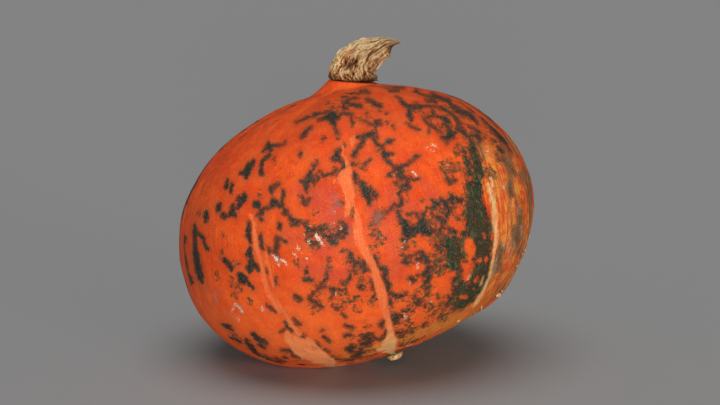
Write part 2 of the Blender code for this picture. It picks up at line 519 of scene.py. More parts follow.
    def add_button(self, points: Array) -> Array:
        """Raise the blossom's button in a shallow dimple at the lower pole.

        Args:
            points: Points of the rind before it leans, one a row.

        Returns:
            The raised points.
        """
        pole = self.directions(np.array([[0.0, 0.0, -1.0]]))[0]
        away = np.linalg.norm(np.cross(points, pole), axis=1)
        button = self.button_height / (1.0 + (away / self.button_radius) ** self.button_steepness)
        dimple = self.dimple_depth * np.exp(-((away / self.dimple_radius) ** 2))
        return points + pole * ((button - dimple) * (points @ pole > 0.0))[:, None]

    def surface(self, unit: Array, extra: Array | float = 0.0) -> Array:
        """Points of the fruit as it lies, about its own middle, before it is flattened.

        Args:
            unit: Points of a unit sphere, one a row, with the stem at +Z.
            extra: Relief to add to the source's own, in metres.

        Returns:
            One point for each row.
        """
        toward = self.directions(unit)
        polar = np.arccos(np.clip(unit[:, 2], -1.0, 1.0))
        longitude = np.arctan2(unit[:, 0], -unit[:, 1])
        reach = self.plain_radius(toward) + self.furrows(polar, longitude)
        reach = reach + self.swelling_relief(toward)
        points = self.add_button(toward * reach[:, None])
        return self.add_collar((points + toward * np.reshape(extra, (-1, 1))) @ self.lean().T)

    def flat_spot(self) -> Array:
        """Find the flat spot that the fruit rests on.

        Returns:
            Its middle, about the fruit's own middle.
        """
        angles = np.linspace(0.0, math.pi, 361), np.linspace(0.0, 2.0 * math.pi, 720)
        polar, longitude = (grid.ravel() for grid in np.meshgrid(*angles))
        across = np.sin(polar)
        points = self.surface(
            np.column_stack([across * np.sin(longitude), -across * np.cos(longitude), np.cos(polar)])
        )
        level = points[:, 2].min() + self.flat_depth
        pressed = points[points[:, 2] < level - self.flat_blend]
        return np.array([*(pressed.min(axis=0) + pressed.max(axis=0))[:2] / 2.0, level])

    def flatten(self, points: Array) -> Array:
        """Press the underside flat at the level of the floor."""
        pressed = points.copy()
        pressed[:, 2] = soft_floor(points[:, 2], 0.0, self.flat_blend)
        return pressed


def deselect() -> None:
    """Leave edit mode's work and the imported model's nodes unselected."""
    bpy.ops.object.select_all(action="DESELECT")


def vertex_places(piece: Piece) -> Array:
    """A mesh's vertices, one a row."""
    flat = np.empty(3 * len(piece.data.vertices))
    piece.data.vertices.foreach_get("co", flat)
    return flat.reshape(-1, 3)


def move_vertices(piece: Piece, points: Array) -> None:
    """Put a mesh's vertices at new places, one a row."""
    piece.data.vertices.foreach_set("co", points.astype(np.float32).ravel())
    piece.data.update()


def vertex_normals(piece: Piece) -> Array:
    """A mesh's vertex normals, one a row."""
    flat = np.empty(3 * len(piece.data.vertices))
    piece.data.vertex_normals.foreach_get("vector", flat)
    return flat.reshape(-1, 3)


def keep(piece: Piece, name: str, values: Array) -> None:
    """Store a number or a vector for each vertex, for the material to read.

    Args:
        piece: The piece.
        name: The attribute's name.
        values: One number or one vector a row.
    """
    kind, field = ("FLOAT", "value") if values.ndim == 1 else ("FLOAT_VECTOR", "vector")
    layer = piece.data.attributes.new(name, kind, "POINT")
    layer.data.foreach_set(field, values.astype(np.float32).ravel())


def settle_piece(piece: Piece, slot: Slot, *nodes: str) -> None:
    """Shade a finished piece smooth, tie it to the body and hide the nodes that it stands for.

    Args:
        piece: The finished piece.
        slot: Its material slot; not used.
        nodes: The nodes that it replaces.
    """
    piece.data.shade_smooth()
    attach(piece, BODY)
    if nodes:
        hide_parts(*nodes)
    mesh = piece.data
    log.info("%s: %d vertices, %d faces", piece.name, len(mesh.vertices), len(mesh.polygons))


class Mark(Enum):
    """The kinds of marks on the rind, each kept as an attribute of that name."""

    MOTTLE = "mottle"
    FUZZ = "fuzz"
    MURK = "murk"
    OLIVE = "olive"
    ISLAND = "island"
    OCHRE = "ochre_inside"
    BARK = "bark_inside"
    ASH = "ash_inside"
    WEATHER = "weather"
    STRIPE = "stripe"
    CREAM = "cream"
    SCUFF = "scuff"
    # Purplish haze over the middle of the front: partly waxy bloom, partly a painted soft sheen.
    BLOOM_AND_SHEEN = "bloom_and_sheen"


# A stroke is its points in turn, each as u, v and half width, in pixels of the photograph, judged one by
# one.
Stroke = tuple[float, ...]
Strokes = tuple[Stroke, ...]

MOTTLES_UPPER_LEFT: Strokes = (
    (268.5, 142, 0.8, 269, 146, 2.6, 271, 149, 2.2),
    (271, 146, 2, 276, 145, 1.2, 282, 145, 1, 286, 142, 0.6),
    (269, 148, 2, 266, 149, 1.5, 263.5, 151, 0.8),
    (269, 155, 1.6, 264, 160, 1.4, 262, 163, 1.2, 261, 168, 1.3, 261, 171, 2, 261.5, 174, 1.8),
    (253, 162, 2, 249, 167, 3, 247, 172, 2.8, 246, 177, 1.5), (247, 171, 2, 240, 173, 1.2),
    (228, 179, 0.6, 226, 188, 1), (232, 184, 0.8, 231, 188, 1.3, 230.5, 193, 0.9),
    (303, 136, 2.6, 303, 135, 2.4, 311, 127, 0.8), (301, 153, 1.7, 300, 155.5, 1.5),
)

MOTTLES_UNDER_STEM: Strokes = (
    (296, 122.5, 0.5, 307, 118, 1.1, 311, 117, 0.7), (315, 115, 1.7, 320, 113, 1, 324, 113, 0.8),
    (326, 112.5, 1.5, 331, 112, 2, 333, 116, 4.2, 330, 118, 4, 326, 118, 2.2, 319, 120, 1),
    (331, 117, 5, 333, 121, 3.4, 334, 124, 2, 335, 128, 1, 336.5, 132, 1),
    (336, 118, 2.5, 339, 116, 1.2, 342, 113, 1.1, 345, 113, 1.2, 349, 114, 1, 352, 114, 0.8),
    (343, 96, 1.7, 352, 94.5, 1.3, 357, 93, 0.9, 362, 92, 1, 367, 92, 1.2, 369, 93, 0.9),
    (360, 91, 0.5, 365, 90, 0.7),
    (344, 102, 1.3, 347, 101, 1.2, 349, 99.5, 0.9, 354, 98.3, 0.8, 358, 98, 0.6),
    (346, 103, 1.5, 354, 105, 1.9, 358, 105.5, 1.8, 361, 106.5, 1.5),
    (343.5, 105, 0.9, 344, 109, 1.7, 347, 108, 1.3),
    (351, 115, 0.8, 351.5, 119, 0.9, 353, 122, 1.2, 352.5, 125, 0.8),
    (357, 137, 1.8, 362, 137, 2.3, 367, 135, 2.8, 372, 135, 2.6, 373, 133, 2),
    (364, 140, 2, 357, 150, 1.5, 355, 153, 2.4, 353.5, 156, 2),
    (367, 100, 1.4, 371, 101, 1.8, 374, 103.5, 2.3, 377, 105, 1.9, 380, 105.5, 1.1),
    (365, 122, 0.9, 367, 122.5, 1, 370, 124, 1.6, 373, 124, 1.2, 377, 123.5, 2.2, 381, 123.5, 1.6),
    (380, 121, 1, 376, 121.5, 1.8), (375, 127, 0.9, 375, 130, 1.1, 377, 137, 1, 378, 139, 0.6),
    (386.5, 113.5, 0.9), (393, 126, 1.2, 394, 128, 0.6),
    (373, 138, 1.8, 377, 144, 1.4, 383, 147, 1.5, 384, 150, 1, 383, 153, 2, 387, 154.5, 2.8,
     391, 154, 1.6, 393, 153.5, 0.9), (383, 153, 2, 385, 157, 1.5),
    (384, 144.5, 0.8, 388, 142, 1.7, 390, 141.5, 2, 392, 140, 1.6, 394, 139.5, 0.8),
)

MOTTLES_CROWN: Strokes = (
    (384, 86, 0.8, 389, 87, 1.3, 394, 87, 1.5, 399, 88, 1.2, 404, 87.5, 0.8),
    (390, 90.5, 0.9, 396, 90.5, 1.3, 404, 90, 0.7),
    (413, 92, 0.8, 417, 91, 1.8, 418, 93, 1.5, 423, 95, 0.9, 428, 96, 1.2),
    (396, 96, 0.5, 401, 100, 1, 402, 102, 1.8, 404, 104, 1.9, 407, 106, 1.8, 410, 107, 2.4,
     414, 107.5, 2.6, 418, 106.5, 2.3, 422, 107, 1.6, 427, 106, 1, 431, 106.5, 0.8, 436, 107, 0.8,
     443, 109, 1.4, 446, 110.5, 1.7, 450, 113, 1.5, 454, 116, 1.3, 459, 122, 1.9, 461, 125, 1.5),
    (409, 109, 2.2, 409, 112, 2.2, 411, 118, 2.2, 411, 121, 1.2), (410, 115, 1, 407, 115, 1),
    (407, 123.5, 0.6, 409, 124, 1.1, 411, 126.5, 1.5, 417, 128.5, 1.2, 419, 129.5, 0.8),
    (414, 105, 1.3, 417, 104, 0.9), (432.5, 107.5, 0.8, 432, 110, 1.2, 433, 112.5, 1.4, 434, 114, 1),
    (432, 115.5, 0.9, 429, 116, 1.1, 426, 118, 1.5, 424, 119.5, 1.1, 429, 124.5, 1.2, 431, 126, 1.7,
     434, 127.5, 1.9, 440, 132.5, 0.9), (429.5, 128, 0.8, 429, 131, 0.9, 428, 133, 0.7),
    (436, 116, 1.1, 438, 117, 1.4, 440, 117, 1.2, 445, 119, 2.4, 448, 121.5, 2.6, 446, 124, 2,
     448, 127, 2.2, 450, 128, 1.8, 449, 131, 2.6, 451, 134, 3.4, 449, 137, 3.2, 445, 138, 2.8,
     442, 137, 1.8), (453, 137, 2.2, 455, 133, 1.5), (447, 140.5, 1.3, 446, 143, 0.8),
    (443, 126, 0.9, 440, 127.5, 0.9),
    (428, 96, 1, 432, 96, 1.8, 440, 98, 2, 443, 99.5, 1.6, 447, 100.5, 2.2, 450, 103, 1.8,
     456, 108.5, 1.9, 459, 111, 2.7, 463, 113, 3, 467, 113.5, 2.8, 470, 115, 2.4, 477, 123, 1.1),
    (432, 94, 0.9, 444, 98, 0.8, 455, 99, 0.7, 460, 102, 0.6, 466, 105, 0.7, 470, 108, 0.9),
    (426, 100, 0.9, 431, 101.5, 1.1, 434, 101, 1.3, 436, 102.5, 1), (430, 98.5, 1.2, 434, 99.5, 1.2),
    (437, 106, 0.6, 441, 107, 0.8),
    (470, 109, 1, 474, 111, 1.6, 478, 112.5, 1.8, 481, 115, 1.8, 483, 118, 1.7, 486, 121, 1.7,
     492, 127.5, 2.1, 501, 138, 2.6, 505, 141, 2.6, 508, 144, 2.2, 510, 148, 2, 513, 151, 1.6),
    (479, 110, 0.8, 484, 113, 1, 489, 117, 1.2, 493, 121, 1.2, 497, 126, 1, 501, 129.5, 1),
    (455, 118, 0.9, 457, 121, 1.8, 459, 124, 1.5, 457, 128, 1.8, 460, 128.5, 2.2, 463, 130, 2.2,
     464, 133, 2.2, 462, 133, 1.5), (468, 126, 0.9, 472, 128, 1.4, 478, 130.5, 1.6, 479, 132.5, 1.5),
    (466, 137, 1.4, 474, 135, 1.8, 478, 137, 2.4, 480, 139, 1.6, 479, 142, 1.3),
    (498, 147, 1.2, 501, 150, 1.8, 503, 152, 1.4),
)

MOTTLES_LEFT: Strokes = (
    (245, 195, 2.3, 244, 198, 2.8, 243.5, 201, 2, 240, 197, 1.6, 238, 198, 1.2, 238, 201, 1.3),
    (241, 203, 1, 239, 205, 1.8, 237.5, 208, 1.2),
    (233, 205, 0.8, 232, 212, 1.8, 231, 214, 2, 234, 214, 1.6, 235, 216, 1.2),
    (228, 216, 1.3, 225, 217, 1.6, 222, 216.5, 1.5, 223, 213, 0.9),
    (220, 204, 1, 218.5, 207, 2, 218, 210, 1.5), (206.5, 212, 0.9, 206, 215, 1.4, 206, 222, 0.8),
    (194.5, 225, 0.8, 195.5, 228, 1.3, 195, 232, 1.8, 195.5, 240, 1, 195, 245, 1.4, 196, 255, 2.4,
     198, 267, 2.6, 199, 271, 2.4, 201, 279, 2, 202, 282, 1.2),
    (199, 234, 0.9, 201, 236.5, 1.5, 203.5, 238.5, 1.4),
    (204, 241, 0.7, 205, 245, 1, 206.5, 247, 1.2, 208, 250, 0.8), (185, 237, 0.6, 184.5, 243, 0.8),
    (182, 245, 1.2, 182, 254, 0.8, 184, 258, 0.9, 185.5, 268, 1, 187, 272, 0.9, 191, 280, 1.2,
     192, 283, 0.8), (256.5, 204, 3.3, 256.5, 205, 3),
    (268, 208.5, 1.2, 262, 210, 1.8, 262, 213, 1.6, 259, 214, 1.6, 258, 215, 1), (261.5, 220, 1.6),
    (249, 222, 0.9, 248.5, 230, 1.9, 248.5, 234, 2, 250.5, 243, 0.8),
    (250.5, 248, 1.6, 249.5, 252, 2.6, 250, 255, 2.6, 250, 258, 1.4), (250, 255, 1.4, 246, 255, 1.2),
    (260.5, 234, 0.8, 260, 237, 1, 261.5, 245, 1, 263, 249, 0.9), (268, 248, 1.2, 271, 253, 0.9),
)

MOTTLES_LOWER_LEFT: Strokes = (
    (247, 343, 0.8, 251, 348, 1, 256, 353, 0.8), (223, 324, 0.7, 228, 328, 0.8, 232, 330, 0.6),
    (264, 357, 0.8, 270, 361, 0.9, 277, 365, 0.7), (232, 337, 0.6, 240, 342, 0.7),
    (272, 361, 0.8, 281, 366, 1), (182.5, 243, 0.8, 184, 256, 1, 187, 268, 0.8),
    (224.5, 259, 1.2, 225.5, 261, 1.8, 228, 263, 1.2, 231, 268, 1.5, 232, 270, 0.8),
    (249, 263, 2, 252, 262, 2.4, 255, 264, 1.8, 250, 267, 3, 250, 270, 2.2),
    (254, 266, 1.6, 257, 267, 1.2, 258, 270, 0.9),
    (240, 274, 1.8, 242, 276, 2.4, 240, 278, 2.6, 241, 281, 2.4, 244, 279, 2.4, 246, 278, 1.8,
     243, 283, 1.8), (247, 281, 1.6, 249, 284, 1.2, 253, 288, 1),
    (276, 278, 0.8, 276, 281, 1.2, 276, 284, 0.7), (267, 305, 0.8, 271, 308, 1.6, 275, 311.5, 1),
    (227, 325.5, 1, 229, 327, 1.4, 231, 329, 1.3, 232.5, 330, 0.8),
    (246, 340, 0.8, 253, 348, 1.3, 254.5, 350, 1.2, 255, 352, 0.9),
    (253, 334, 1.4, 257, 338, 2.2, 258.5, 339.5, 1.6), (261, 342, 2, 263, 341, 2, 266.5, 344, 1.2),
    (260, 345, 1.2, 264, 347, 1.4), (252, 353, 0.7, 262, 357, 0.9, 266, 359, 1.2, 279, 363, 1),
    (276, 359, 0.8, 278, 361, 1, 281, 362, 1.6, 283, 363, 1.4, 285, 361, 1),
    (285, 357, 1, 286, 358.5, 1.5, 287, 359.5, 1), (282, 350, 0.8, 290, 351, 1.8, 293, 352, 1.4),
    (292, 355, 1, 295, 356, 1.5, 296, 354, 1.8, 298, 355, 1.6, 299.5, 356.5, 1.2),
    (297, 362, 1, 300, 364, 1.6, 302, 364.5, 1.8, 298, 366, 1.6, 301, 366, 1.6),
    (286, 323, 1.6, 287.5, 325, 2.2, 287, 327, 2.2, 289, 328, 2.2, 291, 330, 1.8, 292.5, 330.5, 1.4),
    (294, 319, 1.2, 297, 323, 1.8, 299, 324.5, 1.5, 300.5, 324.5, 1),
    (283.5, 330, 0.9, 281, 332, 1, 284, 329, 0.8), (302, 337, 1.6, 303, 337, 1.2),
)

MOTTLES_CENTRE: Strokes = (
    (337, 152, 3, 339, 151, 2.6, 336, 156, 2.6, 339, 157, 2.6, 336, 160, 1.8, 333, 159, 1.8),
    (340, 161, 1.5, 342, 158, 1.2),
    (343, 162, 1, 344, 165, 1.8, 344, 168, 2, 342, 170, 2.2, 338, 174, 1.6),
    (334, 168, 0.6, 336, 169, 1, 335, 171, 1.2),
    (335, 173.5, 1, 327, 175, 0.9, 325, 176, 1.1, 322, 175, 0.8, 321, 172, 1, 319, 171, 1.3),
    (319, 177, 1.4, 317.5, 180, 1),
    (316, 161, 0.9, 316, 163, 1.2, 313, 166, 1.2, 313, 169, 1, 311, 171, 1.2, 310, 174, 2.2, 308, 177, 2,
     309, 180, 3, 306, 183, 3.2, 306, 190, 1.8, 306, 192, 1.2), (306, 183, 1.4, 302, 181, 1.4),
    (312, 177, 2, 313, 181, 1.8, 314, 184, 1), (316, 174, 1.2),
    (304, 201, 2.4, 303, 203, 1.8, 305, 203.5, 1.8), (308, 199, 1, 310.5, 198, 0.9), (309, 202, 0.8),
    (279, 184, 1.2, 271.5, 188, 2.2, 271, 191, 1.5),
    (272, 205, 3, 273, 200, 2, 274, 203, 3.2, 277, 203, 2.4, 279, 206, 2, 282, 206, 1.4, 282, 202, 1.6,
     283, 198, 1.3, 283.5, 194, 1.5, 283, 191, 1.2),
    (282, 206, 1.3, 284, 208, 1.2, 286, 211, 2.4, 284, 213, 1.6, 288, 214, 1.6, 289, 217, 1.4,
     293, 221, 2.8, 296, 222.5, 3, 299, 221.5, 2), (293, 225, 2, 297, 224.5, 1.8),
    (280, 225, 2, 279, 227.5, 1.8), (302, 223.5, 0.9, 305, 224, 0.9),
    (370, 160, 1.2, 368, 161, 1.2, 366, 163, 1, 365, 165, 0.8),
    (354, 172, 1, 354.5, 176, 2.4, 355.5, 179, 2.6, 356, 182, 2),
    (360, 181, 2, 364, 183, 2, 363, 187, 3, 366, 190, 3.2, 364, 193, 3, 368, 192, 3.2, 366, 196, 3,
     369, 198, 2.6, 369, 204, 1.2), (352, 162.5, 1.1, 352, 165, 0.9),
)

MOTTLES_RIGHT: Strokes = (
    (441, 199, 1.6, 446, 204, 2.6, 448, 210, 2.4), (455, 198, 2, 461, 201, 2.4),
    (434, 216, 1.6, 440, 219, 2.6, 446, 222, 2), (449, 229, 2, 455, 232, 2.6),
    (430, 228, 1.6, 435, 232, 2.2), (456, 208, 2, 461, 214, 2.6), (437, 246, 1.6, 442, 251, 2),
    (386, 158, 1, 388, 161, 1.4, 391, 163.5, 1.4, 395, 169, 2.4, 397, 167, 2, 400, 168, 2.4,
     403, 166, 1.8, 406, 165, 1.4, 411, 160.5, 1.6, 414, 158.5, 1.6, 416.5, 157, 1.8, 419, 156, 1),
    (399, 170, 3, 401, 172, 2.6, 398, 176, 2.6, 405, 178, 2.6, 408, 180, 2.6, 407, 183, 2.6,
     407, 186, 2.6, 409, 187, 1.6, 406, 190, 1.4), (407, 183, 2, 404, 186, 2),
    (411, 177, 1, 413, 180, 1.2, 416, 179.5, 1.2, 419, 178, 0.7),
    (397, 171, 1.2, 393, 172, 1.3, 390, 173.5, 1.2, 388, 175.5, 1), (391, 176, 1.2),
    (395, 183, 1.4, 397, 182, 1),
    (404, 187, 1.4, 402, 188, 1.2, 403, 190, 1, 399, 193, 1.6, 398.5, 194, 1.4, 401, 196, 0.9,
     402, 200, 1.8, 401, 203, 2, 399, 206, 1.6, 397, 207, 1.6, 394, 204, 1.3, 392, 207, 1, 390, 209, 1.3,
     387, 213, 0.8),
    (399, 211, 1.6, 398, 213, 1.4, 401, 222, 1.4, 404, 224, 1.8, 404, 228, 3, 410, 228, 3, 415, 229, 3),
    (409, 215, 1.8, 407, 214, 1.1, 412, 213.5, 1), (416, 213, 1, 418, 215, 2, 419, 217, 1.6),
    (427, 208, 1.4, 426, 211, 1.2, 423, 214, 1.6, 423, 217, 1.8, 422, 220, 2, 421, 228, 3),
    (425, 222, 1.6, 424, 226, 2), (406, 223, 1.6, 409, 223, 1.4),
    (432, 200, 1.6, 434, 203, 1.8, 436, 203.5, 3, 439, 204, 1.4), (433, 207, 2, 430, 208, 1),
    (452, 197, 2.6, 453, 199, 2.2, 450, 200, 2, 455, 198, 1.4, 451, 202, 1.6, 454, 203, 1),
    (444, 209, 1.1, 446, 208, 1.4, 448, 211, 2, 451, 212, 1.6, 446, 214, 2, 447, 217, 1.4),
    (453, 208, 1.2), (432, 213, 1, 434, 216, 0.8), (442, 225, 1.8, 442, 228, 2, 440, 231, 1.6),
    (458, 219, 1.2), (452, 181, 2, 455, 181, 1.6, 446, 178, 0.9, 450, 183, 1.4),
    (371, 188, 1.6, 370, 191, 2.2, 374, 192, 1.8, 373, 195, 2.4, 376, 196, 2.4, 378, 195, 1.4),
    (372, 199, 1.8), (466, 174, 1.6), (478, 172, 1.6), (469, 190, 2, 473, 188, 1.6),
    (478, 183, 2, 478, 188, 2),
)

MOTTLES_BELOW_RIGHT: Strokes = (
    (403, 221, 2, 406, 224, 3.4, 406, 228, 4, 408, 232, 4, 407, 236, 3.5, 405, 234, 3),
    (412, 229, 3, 417, 230, 4, 421, 224, 3, 421, 220, 2.5),
    (421, 228, 4, 424, 231, 4, 428, 233, 3, 431, 233, 2), (408, 232, 4, 413, 234, 2.5, 411, 236, 2),
    (402, 239, 1.6, 405, 240, 1.6), (443, 246, 1.8, 440, 241, 1.6), (436, 246, 1.6),
    (446, 237, 1.5, 446, 242, 1.5),
    (414, 263, 0.9, 410, 263, 1.1, 407, 264, 1.2, 404, 262, 1.2, 407, 258, 1.4, 409, 256, 0.9,
     412, 256, 0.9, 419, 252, 1), (421, 253, 2.4, 423, 256, 3, 421, 259, 3, 417, 259, 2),
    (425, 258, 2.4, 426, 262, 2.4, 428, 261, 2),
    (430, 267, 2.2, 428, 270, 2.6, 427, 274, 3, 429, 277, 2.8, 427, 281, 2.4, 425, 282, 1.6),
    (424, 277, 1.8, 424, 273, 1.4, 421, 275, 1.3, 419, 275, 1.2, 417, 276, 1),
    (412, 279, 2.4, 410, 279, 2, 415, 280, 1.6, 413, 281, 2),
    (374.5, 256, 1.2, 376.5, 260, 1.3, 378, 265, 1.5, 380, 268, 1.8, 384, 269, 2.2, 386, 271, 2.2,
     384, 278, 2.2, 388, 284, 2.2, 389, 287, 2, 388.5, 290, 1.5, 390, 293, 1.8, 393, 295, 1.6,
     396, 296, 1.8, 400, 296, 1.5, 404, 295, 1.7, 406, 294, 1.2),
    (364, 263, 2.6, 364, 267, 2.6, 365, 270, 2, 368, 270, 1), (362, 285, 1.2, 360, 287, 2, 362, 288, 1.5),
    (371, 280, 0.9, 373, 286, 1.3, 373, 289, 1.4, 375, 289, 1), (376, 293, 1, 373, 298, 1),
    (419, 302, 2.4, 420, 304, 2, 417, 299, 1.2, 414, 297, 0.9), (417, 304, 1.4, 414, 301, 0.9),
    (425, 306, 1.3), (449, 297, 1.6, 451, 298, 2, 447, 304, 1.5), (452, 296, 1.3, 454, 291, 1.8),
    (453, 304, 1.4, 455, 306, 1.5, 453, 309, 1.2),
    (455, 303, 1, 457, 307, 1.5, 460, 305, 1.3, 463, 304, 1.1), (425, 323, 1.1, 423, 326, 1),
    (448, 266, 2.4, 452, 267, 1.8),
)

MOTTLES_LOWER_CENTRE: Strokes = (
    (276, 239, 1.6, 278, 238, 1.8, 277, 242, 2.2, 277, 246, 2, 275.5, 249, 2, 276, 252, 2.2,
     274, 251, 1.6), (278, 239, 1.4, 284, 240, 1.4, 286, 241, 1), (278.5, 256.5, 1),
    (307, 222, 1, 306, 226, 1.4, 309, 229, 1.6, 307, 233, 1.3),
    (309, 229, 1.3, 311, 231, 1.6, 314, 231, 1.7, 316, 229, 1.3, 319, 231, 1.8, 324, 227.5, 1.2),
    (313, 235, 1.2, 309, 236, 1.2, 308, 241, 1.5), (311, 243, 1.2, 315, 243, 1.3, 318, 244.5, 1.2),
    (325, 236.5, 1.6, 328, 237, 1.4, 334, 235.5, 2, 337, 235, 2.4, 343, 231, 2.6, 345, 228, 2.4,
     345, 225, 1.8, 343, 222.5, 1.4, 341, 221.5, 1.2), (346, 232, 2, 343, 237, 1.6, 336, 238, 1.8),
    (329, 241, 1.6, 332, 240, 2.2, 333, 243, 2, 335, 241, 1.6, 337, 244, 1),
    (327, 272, 0.9, 327, 276, 1.3, 324, 283, 1, 321, 284, 1.9, 322, 286, 2, 320, 288, 1.7, 323, 287, 1.7,
     318, 286, 1.1), (350, 252, 1.5, 351, 255, 2.2, 351, 258, 2.4, 350.5, 261, 1.8),
    (354, 258, 1.2, 355, 262, 1.4, 361, 264, 1.8, 363, 266, 2), (354, 266, 0.9, 353, 270, 0.9),
    (304.5, 279, 1.5, 307, 279.5, 2.2, 312.5, 280.5, 1.4), (306, 270, 0.8, 306.5, 273, 0.7),
    (329, 288.5, 1.2, 332, 288.5, 1.8, 334, 289, 2, 332, 291, 2, 333, 293, 1.8, 331.5, 299, 1.1),
    (337, 289, 1.1, 341, 289, 0.7),
    (316, 291, 1, 314.5, 293, 1, 310, 297, 1.7, 309, 299, 1.5, 311, 302, 1.6, 315, 300, 0.9, 317, 303, 1,
     322, 307, 1.3), (295, 295, 1.6, 297, 297.5, 2, 300, 299, 1.7, 300, 301, 1.4),
    (341, 282.5, 0.9, 343.5, 283, 1.5, 348, 281, 0.9, 350, 278, 1.7, 350, 276, 1.5),
    (334, 307, 1, 338, 309, 2, 340, 308, 1.6), (342, 313, 0.7, 345.5, 317, 0.9),
    (345, 325, 1, 349.5, 327, 1.7, 352, 328, 1.3), (345, 336, 1, 347, 335, 1.5, 349, 334.5, 1.3),
    (322, 331, 1.2, 323.5, 330, 0.9), (324, 337, 1.4, 326, 338, 1.6, 329, 341.5, 1),
    (315, 342.5, 0.9, 317, 344, 1.4, 319, 346, 1.4), (325, 350, 0.9, 329, 352, 0.8),
    (361, 335, 1, 364, 336, 1.6, 367, 336, 2, 370, 334, 1.8, 372, 335, 1.8, 374, 337, 1.4),
    (363, 339, 1.4, 366, 338, 1.5, 369, 338, 2, 372, 340, 1.4),
    (360, 341, 1, 362, 344, 1.5, 368, 342, 2, 370, 343, 1.8, 366, 345, 2),
    (351, 345, 1.3, 352, 347, 2.2, 349, 348, 2, 348, 350, 1.6, 351, 351, 1.5), (354, 347, 1.2),
    (346, 349, 0.9), (353, 356, 1.2, 355, 356, 1.6, 359, 354, 2.4, 362, 352, 2, 362, 350, 1.2),
    (357, 355, 2, 360, 357, 1.5),
    (375, 338, 0.9, 378, 339.5, 1.1, 381, 339, 1.1, 384, 337, 1, 386, 330, 0.8),
    (384, 321, 0.9, 383, 322, 1.6, 381, 324, 2, 382, 326, 1.5, 380, 326, 1.1),
    (390, 298, 1.1, 390, 300, 1.4, 391, 303, 1.5, 390, 304, 1.2),
    (392, 315, 1.8, 395, 315, 2, 397, 318, 2.6, 394, 320, 2.4, 398, 321, 2, 395, 323, 1.6),
    (399, 315, 1.2, 402, 316, 1.4), (403, 311, 1.2, 406, 311, 1.5, 409, 310, 1.2),
    (397, 332, 1.4, 400, 333, 1.8, 404, 333, 1.4, 406, 331, 1), (399, 336, 1.3, 403, 336, 1.3),
    (332, 357, 0.8, 337, 359.5, 0.9, 347, 361, 1.2, 353, 360, 1),
)

